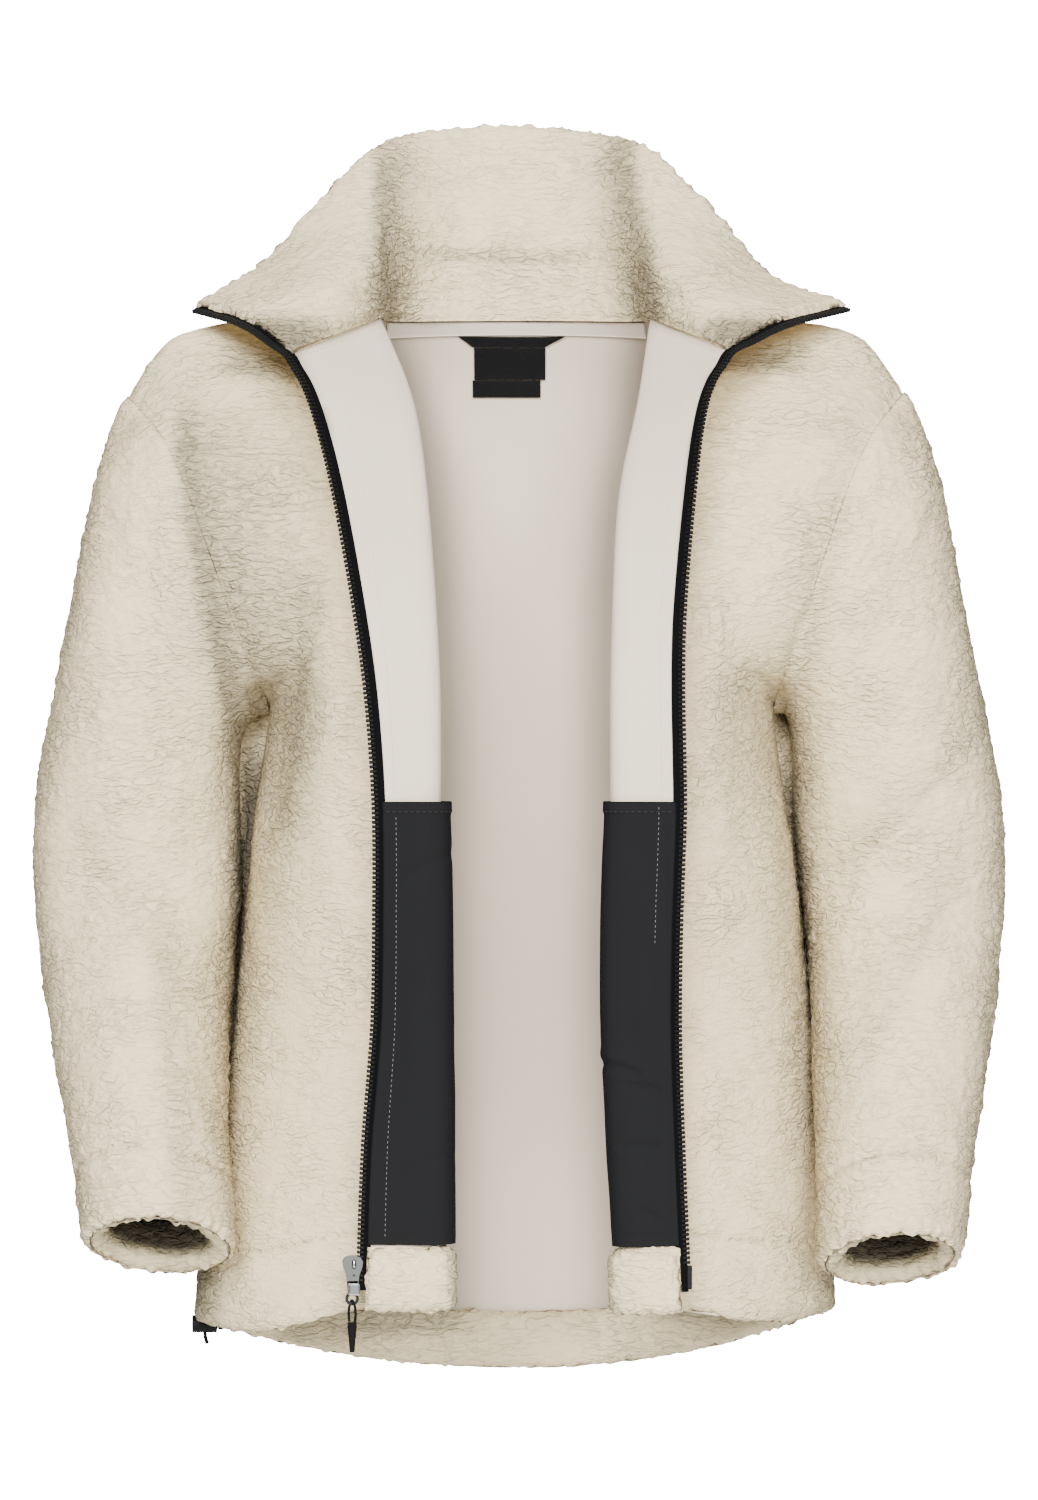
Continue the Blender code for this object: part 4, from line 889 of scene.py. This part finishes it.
def edgeForm(under, edges):
    # how full the cloth is: a quarter circle in from each free edge, and a bell-shaped valley along each seam
    profile, seam, nearEdge = (np.full(under.shape[:2], value) for value in (1.0, 1.0, 0.0))
    for edge, radius in edges.items():
        distance = edgeDistance(under, 1 if edge in ("first", "last") else 0, edge in ("bottom", "last"))
        if radius == "seam":
            seam *= 1 - seamValley["depth"] * bell(distance / seamValley["width"])
            continue
        profile *= np.sqrt(np.clip(1 - (1 - np.clip(distance / radius, 0, 1)) ** 2, 0.004, 1))
        if radius > 4:
            nearEdge = np.maximum(nearEdge, bell(distance / curls["edgeReach"]))
    return profile, seam, nearEdge


def declare(obj, nodes, slot):
    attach(obj, "jacket")
    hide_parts(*nodes)


def fleeceCloth(name, panel, nodes, spec):
    # the panel moved along its thickness, lower at seams and round at free edges, with curls on its pile side
    grid, _ = panels[panel]
    joined = panel.startswith("sleeve")
    rowsAt, per = spaced(*spec["rows"]), spec["columns"][-1]
    columnsAt = np.arange(grid.shape[1] * per) / per if joined else spaced(*spec["columns"])
    away = fine(directions[panel], np.clip(rowsAt, 0, len(grid) - 1), columnsAt, joined) * spec["side"]
    under = fine(grid, rowsAt, columnsAt, joined) + away * spec["base"]
    profile, seam, nearEdge = edgeForm(under, spec["edges"])
    sewn = np.zeros(under.shape[:2])
    if "sewn" in spec:
        gap = (rowsAt - (len(grid) - 1 - spec["sewn"])) * np.linalg.norm(grid[-1, 0] - grid[-2, 0])
        seam *= 1 - sewnLine["depth"] * bell(gap / sewnLine["width"])[:, None]
        # painted shade in dashes along the sewn valley
        dashes = np.clip(0.6 + gradientNoise(under / sewnLine["stitch"]), 0, 1)
        sewn = sewnLine["dark"] * bell(gap / sewnLine["thread"])[:, None] * dashes
    raised = under + away * (spec["thickness"] * profile * seam)[..., None]
    outward = gridNormals(raised, joined)
    outward *= np.sign((outward * away).sum(-1, keepdims=True))
    rise, creviceShade = pileRise(raised, nearEdge)
    worn, calm = curls["worn"], 1
    if name.endswith("Right"):
        apart = (raised[..., [0, 2]] - worn["middle"]) / worn["reach"]
        calm = 1 - worn["calm"] * np.exp(-(apart**2).sum(-1))
    soft = np.clip(seam * 1.4, 0.25, 1) * np.clip(np.linalg.norm(away, axis=-1), 0, 1) * calm
    shade = np.maximum(shadeAt(raised, outward, name), sewn)
    # painted shade inside the cuff's opening, darker further in from its edge
    if name.startswith("cuff"):
        deep = (edgeDistance(under, 0, True) - cuffInsideShade["from"]) / cuffInsideShade["over"]
        shade = np.maximum(shade, cuffInsideShade["dark"] * np.clip(deep, 0, 1))
    raised = raised + outward * (rise * soft)[..., None]
    rowPick, columnPick = picks(len(rowsAt), spec["every"][0]), picks(len(columnsAt), spec["every"][1])
    if joined:
        columnPick = list(range(0, len(columnsAt), spec["every"][1]))
    inside = under[np.ix_(rowPick, columnPick)]
    obj = closedCloth(name, raised, inside, rowPick, columnPick, joined, (pile, inner))
    painted = {"creviceShade": (creviceShade, np.zeros(inside.shape[:-1])), "shade": (shade, insideShade(inside, name))}
    for key, (near, far) in painted.items():
        values = np.r_[near.ravel(), far.ravel()].astype(np.float32)
        obj.data.attributes.new(key, "FLOAT", "POINT").data.foreach_set("value", values)
    lengths = [edgeDistance(under, axis, False).take(-1, axis=axis).max() for axis in (1, 0)]
    declare(obj, nodes, "fleece")


hemRow, cuffRing = cut["hemRow"], len(sleeves["right"]["ring"]) * cut["ringsPerRow"]
hemEnd, cuffEnd, roundEnd = hemRow + 0.14, cuffRing + 0.14, 0.34  # edges reach a little past the panels
zipColumn = cut["chestSteps"] + cut["rollSteps"] + cut["flapSteps"]
backEnd, collarEnd = 2 * (shoulderSteps + cut["backNeckSteps"]), 2 * (neckSteps + cut["backNeckSteps"])
# side is 1 for the pile side; base is how far off the panel the cloth starts; every is how much coarser its
# plain side is; rows and columns run from, to, points a step, and how much at each end is rounded; edges are
# seams or have a rounding radius; sewn is how many rows up the hem is sewn
outerCloth = {"side": 1, "base": 0.0, "thickness": 5.0, "every": (8, 6), "held": "hung"}
turnedEdge = {"side": -1, "base": 0.95, "thickness": 6.5, "every": (8, 6), "held": "folded"}
garment = {
    "front": {
        **outerCloth,
        "rows": (0, hemEnd, 18, 0, roundEnd),
        "columns": (0, zipColumn, 8),
        "edges": {"top": "seam", "first": "seam", "bottom": 9.0, "last": 3.0},
        "sewn": 1.25,
    },
    "sleeve": {
        **outerCloth,
        "every": (8, 5),
        "rows": (0, cuffEnd, 19, 0, roundEnd),
        "columns": (10,),
        "edges": {"top": "seam", "bottom": 6.0},
        "sewn": 1.25,
    },
    "cuff": {
        **turnedEdge,
        "base": 0.4,
        "thickness": 10.0,
        "every": (8, 5),
        "rows": (cuffRing - 1.1, cuffEnd, 19, 0.3, roundEnd),
        "columns": (10,),
        "edges": {"top": 8.0, "bottom": 6.0},
    },
    "hem": {
        **turnedEdge,
        "rows": (hemRow - 1.0, hemEnd, 18, 0.3, roundEnd),
        "columns": (0.02, zipColumn - 0.02, 8),
        "edges": {"top": 8.0, "bottom": 6.0, "last": 5.0},
    },
    "backPanel": {
        **outerCloth,
        "every": (8, 4),
        "rows": (0, hemEnd, 18, 0, roundEnd),
        "columns": (0, backEnd, 7),
        "edges": {"top": "seam", "first": "seam", "last": "seam", "bottom": 6.0},
        "sewn": 1.0,
    },
    "hemBack": {
        **turnedEdge,
        "rows": (hemRow - 0.7, hemEnd, 18, 0.25, roundEnd),
        "columns": (0.02, backEnd - 0.02, 7),
        "edges": {"top": 8.0, "bottom": 6.0},
    },
    "collarOuter": {
        **outerCloth,
        "rows": (0, cut["collarRows"] + 0.12, 18, 0, 0.32),
        "columns": (0, collarEnd, 10),
        "edges": {"top": "seam", "bottom": 7.0, "first": 3.0, "last": 3.0},
    },
}
garment["collarInner"] = {**garment["collarOuter"], "side": -1, "base": 0.4}
for side in sides:
    end, front, sleeve = side.capitalize(), "front_" + side, "sleeve_" + side
    fleeceCloth("front" + end, front, [front], garment["front"])
    fleeceCloth("sleeve" + end, sleeve, [sleeve, sleeve + "_middle", sleeve + "_lower"], garment["sleeve"])
    fleeceCloth("cuff" + end, sleeve, ["cuff_" + side], garment["cuff"])
    fleeceCloth("hem" + end, front, ["hem_" + side], garment["hem"])
fleeceCloth("backPanel", "back", ["back", "back_lower"], garment["backPanel"])
fleeceCloth("hemBack", "back", ["hem_back"], garment["hemBack"])
for name, node in (("collarOuter", "collar_outer"), ("collarInner", "collar_inner")):
    fleeceCloth(name, "collar_outer", [node], garment[name])
print("fleece made")


def stacked(rings):
    # a closed body through rings of points, its two ends closed by flat faces
    count, around = rings.shape[:2]
    index = np.arange(count * around).reshape(count, around)
    faces = quadsOf(index, True).tolist() + [index[0, ::-1].tolist(), index[-1].tolist()]
    points = rings.reshape(-1, 3)
    return points, outwards(points, faces)


def copied(name, shape, places, across, up, material):
    # one small shape at each place, its x across, its y up and its z along the way between
    points, faces = shape
    axes = (across, up, np.cross(across, up))
    turned = sum(points[None, :, k : k + 1] * axis[:, None] for k, axis in enumerate(axes)) + places[:, None]
    every = [[v + k * len(points) for v in face] for k in range(len(places)) for face in faces]
    obj = newObject(name, turned.reshape(-1, 3), every, (material,))
    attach(obj, "jacket")
    return obj


def roundedBar(outline, half, edge):
    # an outline in x and z, given thickness along y, and narrower at both faces for a rounded edge
    outline = np.asarray(outline, float)
    middle = outline.mean(axis=0)
    small = middle + (outline - middle) * (1 - edge / np.linalg.norm(outline - middle, axis=1, keepdims=True))
    levels = ((small, -half), (outline, edge - half), (outline, half - edge), (small, half))
    return stacked(np.stack([np.column_stack([ring[:, 0], np.full(len(ring), y), ring[:, 1]]) for ring, y in levels]))


def threadShape(length, radius):
    # a short thread, thicker in its middle
    angle = np.arange(6) * math.pi / 3
    circle = np.column_stack([np.cos(angle), np.sin(angle)]) * radius
    levels = ((-0.5, 0.35), (-0.36, 0.95), (0.0, 1.1), (0.36, 0.95), (0.5, 0.35))
    return stacked(np.stack([np.column_stack([circle * size, np.full(6, t * length)]) for t, size in levels]))


def stitched(name, points, normals, material, length=2.3, gap=1.3, radius=0.22):
    # dashes of thread along a line on the cloth, from 1 mm in
    distance = lengthAlong(points)
    at = np.arange(1.0, distance[-1], length + gap)
    lines = [np.column_stack([np.interp(at, distance, line[:, k]) for k in range(3)]) for line in (points, normals)]
    places, up = lines[0], unit(lines[1])
    along = unit(np.gradient(places, axis=0))
    across = unit(np.cross(up, along))
    copied(name, threadShape(length, radius), places, across, np.cross(along, across), material)


def slotOf(node):
    return next(row["material_slot"] for row in frame["record"]["subparts"] if row["node"] == node)


def laidCloth(name, node, panel, rowsAt, columnsAt, gap, thickness, finish):
    # cloth on a panel's smooth side: its near face follows the panel and its far face is what shows
    away = fine(directions[panel], rowsAt, columnsAt)
    under = fine(panels[panel][0], rowsAt, columnsAt) - away * np.asarray(gap)[..., None]
    facing = under - away * np.asarray(thickness)[..., None]
    rowPick, columnPick = picks(len(rowsAt), 4), picks(len(columnsAt), 4)
    inside = under[np.ix_(rowPick, columnPick)]
    obj = closedCloth(name, facing, inside, rowPick, columnPick, False, (finishes[finish],) * 2)
    size = [edgeDistance(under, axis, False).take(-1, axis=axis).mean() * mm for axis in (1, 0)]
    declare(obj, [node], slotOf(node))
    return facing, -away


bags = {
    "rows": (11.88, 19.95, 170),
    "columns": (2.0, zipColumn - 0.02, 84),
    "gap": 0.95,
    "cloth": 1.0,
    "topEdge": {"height": 0.24, "fade": 0.03, "thicker": 0.7},  # turned down; its height and fade in rows
    "loose": {"right": 6.0, "left": 2.4},  # how far a bag hangs off the front, at the fold
    "looseReach": 2.2,  # in columns
    "soft": {"size": (22, 22, 40), "rise": 0.5},
    "calmEdge": 12,  # wrinkles fade over this many points towards the zip
    "stitches": {"left": (slice(2, 56), -10), "right": (slice(6, 168), -9)},  # rows and column, beside the zip
}
wrinkleColumns = "x0 z0 x1 z1 rise width"
bagWrinkles = {
    "left": table(
        wrinkleColumns,
        (54, -446, 69, -451, -1.3, 2.4),
        (54, -440, 66, -444, 0.8, 3.2),
        (65, -458, 82, -461, -1.4, 2.4),
        (62, -494, 80, -493, -1.2, 2.6),
        (73, -531, 82, -537, -1.0, 2.6),
        (60, -546, 86, -545, -0.8, 1.4),
        (85.4, -300, 88, -546, -1.0, 1.6),
        (66, -330, 72, -420, 0.7, 6.0),
    ),
    "right": table(
        wrinkleColumns,
        (-44, -322, -66, -336, -0.6, 3.2),
        (-62, -400, -56, -540, -0.7, 7.0),
        (-48, -500, -66, -510, -0.5, 3.2),
        (-50, -546, -88, -546, -0.6, 1.4),
    ),
}
for side in sides:
    panel, end, topEdge = "front_" + side, side.capitalize(), bags["topEdge"]
    rowsAt, columnsAt = np.linspace(*bags["rows"]), np.linspace(*bags["columns"])
    lift = bell((columnsAt - shoulderSteps) / bags["looseReach"])[None]
    sag = (np.sin(np.linspace(0, math.pi, len(rowsAt)) ** 0.8) * 0.4 + 0.6)[:, None]
    band = np.clip((rowsAt[0] + topEdge["height"] - rowsAt) / topEdge["fade"], 0, 1)[:, None] * topEdge["thicker"]
    near = fine(panels[panel][0], rowsAt, columnsAt)
    soft = gradientNoise(near / bags["soft"]["size"] + 3.3) * bags["soft"]["rise"]
    calm = np.clip(np.arange(len(columnsAt))[::-1] / bags["calmEdge"], 0, 1)[None]
    wrinkles = (sum(bellAlong(near, w) for w in rowsOf(bagWrinkles[side])) + soft) * calm * (band == 0)
    gap, thickness = bags["gap"] + bags["loose"][side] * lift * sag, bags["cloth"] + band + wrinkles
    name, node = "pocketBag" + end, "pocket_" + side
    facing, normals = laidCloth(name, node, panel, rowsAt, columnsAt, gap, thickness, "pocket")
    shown = bags["stitches"][side]
    stitched("bagStitches" + end, facing[shown], normals[shown], finishes["paleThread"], 1.5, 1.5, 0.15)
    stitched("bagHemStitches" + end, facing[4, 20:-2], normals[4, 20:-2], finishes["darkThread"])

neckTape = {
    "rows": (0.07, 0.52, 10),
    "columns": (shoulderSteps + 1, backEnd - shoulderSteps - 1, 90),
    "gap": 0.95,
    "cloth": 0.8,
}
rowsAt, columnsAt = np.linspace(*neckTape["rows"]), np.linspace(*neckTape["columns"])
gap, thickness = neckTape["gap"], neckTape["cloth"]
facing, normals = laidCloth("neckTape", "neck_tape", "back", rowsAt, columnsAt, gap, thickness, "tape")
for row in (1, -2):
    stitched(f"neckTapeStitches{row % 10}", facing[row], normals[row], finishes["creamThread"], 2.0, 1.0, 0.16)

# seams on the turned fronts: one along the collar, one beside the zip
frontSeams = {
    "collarSeam": ([0.3], np.linspace(shoulderSteps + 1.5, zipColumn - 0.3, 40)),
    "zipSeam": (np.linspace(0.3, 11.78, 160), [zipColumn - 1.15]),
}
for side in sides:
    for name, (rowsAt, columnsAt) in frontSeams.items():
        base = fine(panels["front_" + side][0], rowsAt, columnsAt).reshape(-1, 3)
        away = fine(directions["front_" + side], rowsAt, columnsAt).reshape(-1, 3)
        stitched(name + side.capitalize(), base - away * 0.1, -away, finishes["creamThread"], 2.2, 0.9, 0.2)
print("pocket bags, neck tape and stitches made")

zipSizes = {
    "pitch": 2.7,
    "tape": (-2.2, 4.2, 0.8),  # from and to beside the edge, and half its thickness
    "tapeFrom": 7,  # how far above the hem the tape starts
    "tapeStep": 3.0,
    "tooth": [(1.8, 0.8), (3.2, 0.8), (3.7, 0.5), (4.2, 0.5), (4.6, 0.95), (5.5, 0.98), (5.9, 0.6)],
    "toothHalf": 1.25,
    "toothEdge": 0.3,
    "chainFrom": {"right": -572.2, "left": -562.0},
}


def squareTo(path, out):
    # the line's own direction, and the outward one turned square to it
    along = unit(np.gradient(path, axis=0))
    return along, unit(out - along * (out * along).sum(1, keepdims=True))


def zipLine(side):
    # the zip's line from hem to collar tip, and its direction outwards
    front, collar = panels["front_" + side][0], panels["collar_outer"][0]
    if side == "left":
        collar = collar[:, ::-1]
    path = np.r_[front[::-1, -1], collar[1:, 0]]
    inward = np.r_[front[::-1, -2], collar[1:, 1]]
    return path, squareTo(path, unit(path - inward))[1]


def stepsAlong(line, lowZ, step):
    # even steps along the line above a height, with the directions out and up there
    dense = np.linspace(0, len(line[0]) - 1, 6000)
    points = alongRows(line[0], dense)
    length = lengthAlong(points)
    first = length[np.argmax(points[:, 2] > lowZ)]
    where = np.interp(np.arange(first, length[-1], step), length, dense)
    path, out = (alongRows(part, where) for part in line)
    along, out = squareTo(path, out)
    return path, out, np.cross(along, out)


halfTooth = zipSizes["tooth"]
toothOutline = halfTooth + [(x, -z) for x, z in halfTooth[::-1]]
tooth = roundedBar(toothOutline, zipSizes["toothHalf"], zipSizes["toothEdge"])
for side in sides:
    line, end = zipLine(side), side.capitalize()
    path, out, up = stepsAlong(line, line[0][0, 2] + zipSizes["tapeFrom"], zipSizes["tapeStep"])
    near, far, half = zipSizes["tape"]
    profile = np.array([(near, -half), (far - 0.3, -half), (far, 0), (far - 0.3, half), (near, half)])
    points, faces = stacked(path[:, None] + out[:, None] * profile[None, :, :1] + up[:, None] * profile[None, :, 1:])
    obj = newObject("zipTape" + end, points, faces, (finishes["zipTape"],), smooth=False)
    declare(obj, ["zip_tape_" + side], "zip_tape")
    path, out, up = stepsAlong(line, zipSizes["chainFrom"][side] + 1, zipSizes["pitch"])
    obj = copied("zipTeeth" + end, tooth, path, out, up, finishes["teeth"])
    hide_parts("zip_chain_" + side)
    print(f"zip {side}: {len(path)} teeth")
print("zip made")

# the finishes, and the solids that stay and have them
kept = {
    "label": ["label_base", "label_upper", "label_lower"],
    "teeth": ["insertion_pin"],
    "slider": ["slider"],
    "bright": ["retainer_box"],
    "darkMetalAndHoleShade": ["pull_tab"],
    "cord": ["puller_cord", "puller_grip"],
    "plastic": ["cord_lock", "cord_lock_button"],
}
for finish, names in kept.items():
    for name in names:
        mesh = frame["nodes"][name].data
        mesh.materials.clear()
        mesh.materials.append(finishes[finish])

# the slider's slot and its small hole, as inlays just proud of its face: the dark ones are painted shade for the
# openings, with a bright bar inside the slot; down is from its top
inlays = {
    "sliderSlot": {"down": 4.6, "size": (1.25, 2.7), "proud": 0.15, "finish": "darkMetalAndHoleShade"},
    "sliderSlotFloor": {"down": 4.6, "size": (0.75, 2.2), "proud": 0.25, "finish": "bright"},
    "sliderHole": {"down": 11.0, "size": (0.55, 0.55), "proud": 0.15, "finish": "darkMetalAndHoleShade"},
}
low, high = (np.array(corner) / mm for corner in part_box("slider"))
angle = np.arange(16) * math.pi / 8
squarish = np.sign(np.sin(angle)) * np.abs(np.sin(angle)) ** 0.5
for name, inlay in inlays.items():
    bar = roundedBar(np.column_stack([np.cos(angle), squarish]) * inlay["size"], 0.2, 0.1)
    where = np.array([[(low[0] + high[0]) / 2 + 1.0, low[1] - inlay["proud"], high[2] - inlay["down"]]])
    copied(name, bar, where, np.eye(3)[:1], np.eye(3)[1:2], finishes[inlay["finish"]])
print("solids finished, slider inlaid")

# the stage, in metres
stage = {
    "floorZ": -1.3,
    "floorRadius": 3.0,
    "background": 20.0,
    "ambient": 0.22,
    "ambientTint": (0.84, 0.94, 1.0, 1.0),
    "aim": (0, 0, -0.25),
    "lights": {
        "key": {"place": (-1.2, -6.6, 2.6), "size": 2.6, "power": 820.0},
        "fill": {"place": (1.6, -6.6, 1.6), "size": 2.6, "power": 520.0},
        "top": {"place": (0.0, -0.6, 2.6), "size": 2.0, "power": 24.0},
        "rear": {"place": (0.8, 5.5, 1.8), "size": 2.6, "power": 160.0},
    },
}
bpy.ops.mesh.primitive_circle_add(
    vertices=96, radius=stage["floorRadius"], fill_type="NGON", location=(0, 0, stage["floorZ"])
)
floor = bpy.context.object
floor.name = "floor"
floor.data.materials.append(plainFinish("pale floor", (238, 238, 238), 0.8))

world = bpy.data.worlds.new("studio")
bpy.context.scene.world = world
world.use_nodes = True
tree = world.node_tree
background = tree.nodes["Background"]
seen = addNode(tree, "LightPath", "Is Camera Ray")
strength = seen * (stage["background"] - stage["ambient"]) + stage["ambient"]
tint = addNode(tree, "Mix", 2, {"data_type": "RGBA"}, {0: seen, 6: stage["ambientTint"], 7: (1, 1, 1, 1)})
tree.links.new(strength.socket, background.inputs["Strength"])
tree.links.new(tint.socket, background.inputs["Color"])

for name, lamp in stage["lights"].items():
    light = bpy.data.lights.new(name, "AREA")
    light.size, light.energy = lamp["size"], lamp["power"]
    obj = placed(name, light)
    obj.location = lamp["place"]
    obj.rotation_euler = (Vector(stage["aim"]) - Vector(lamp["place"])).to_track_quat("-Z", "Y").to_euler()
print("stage set")
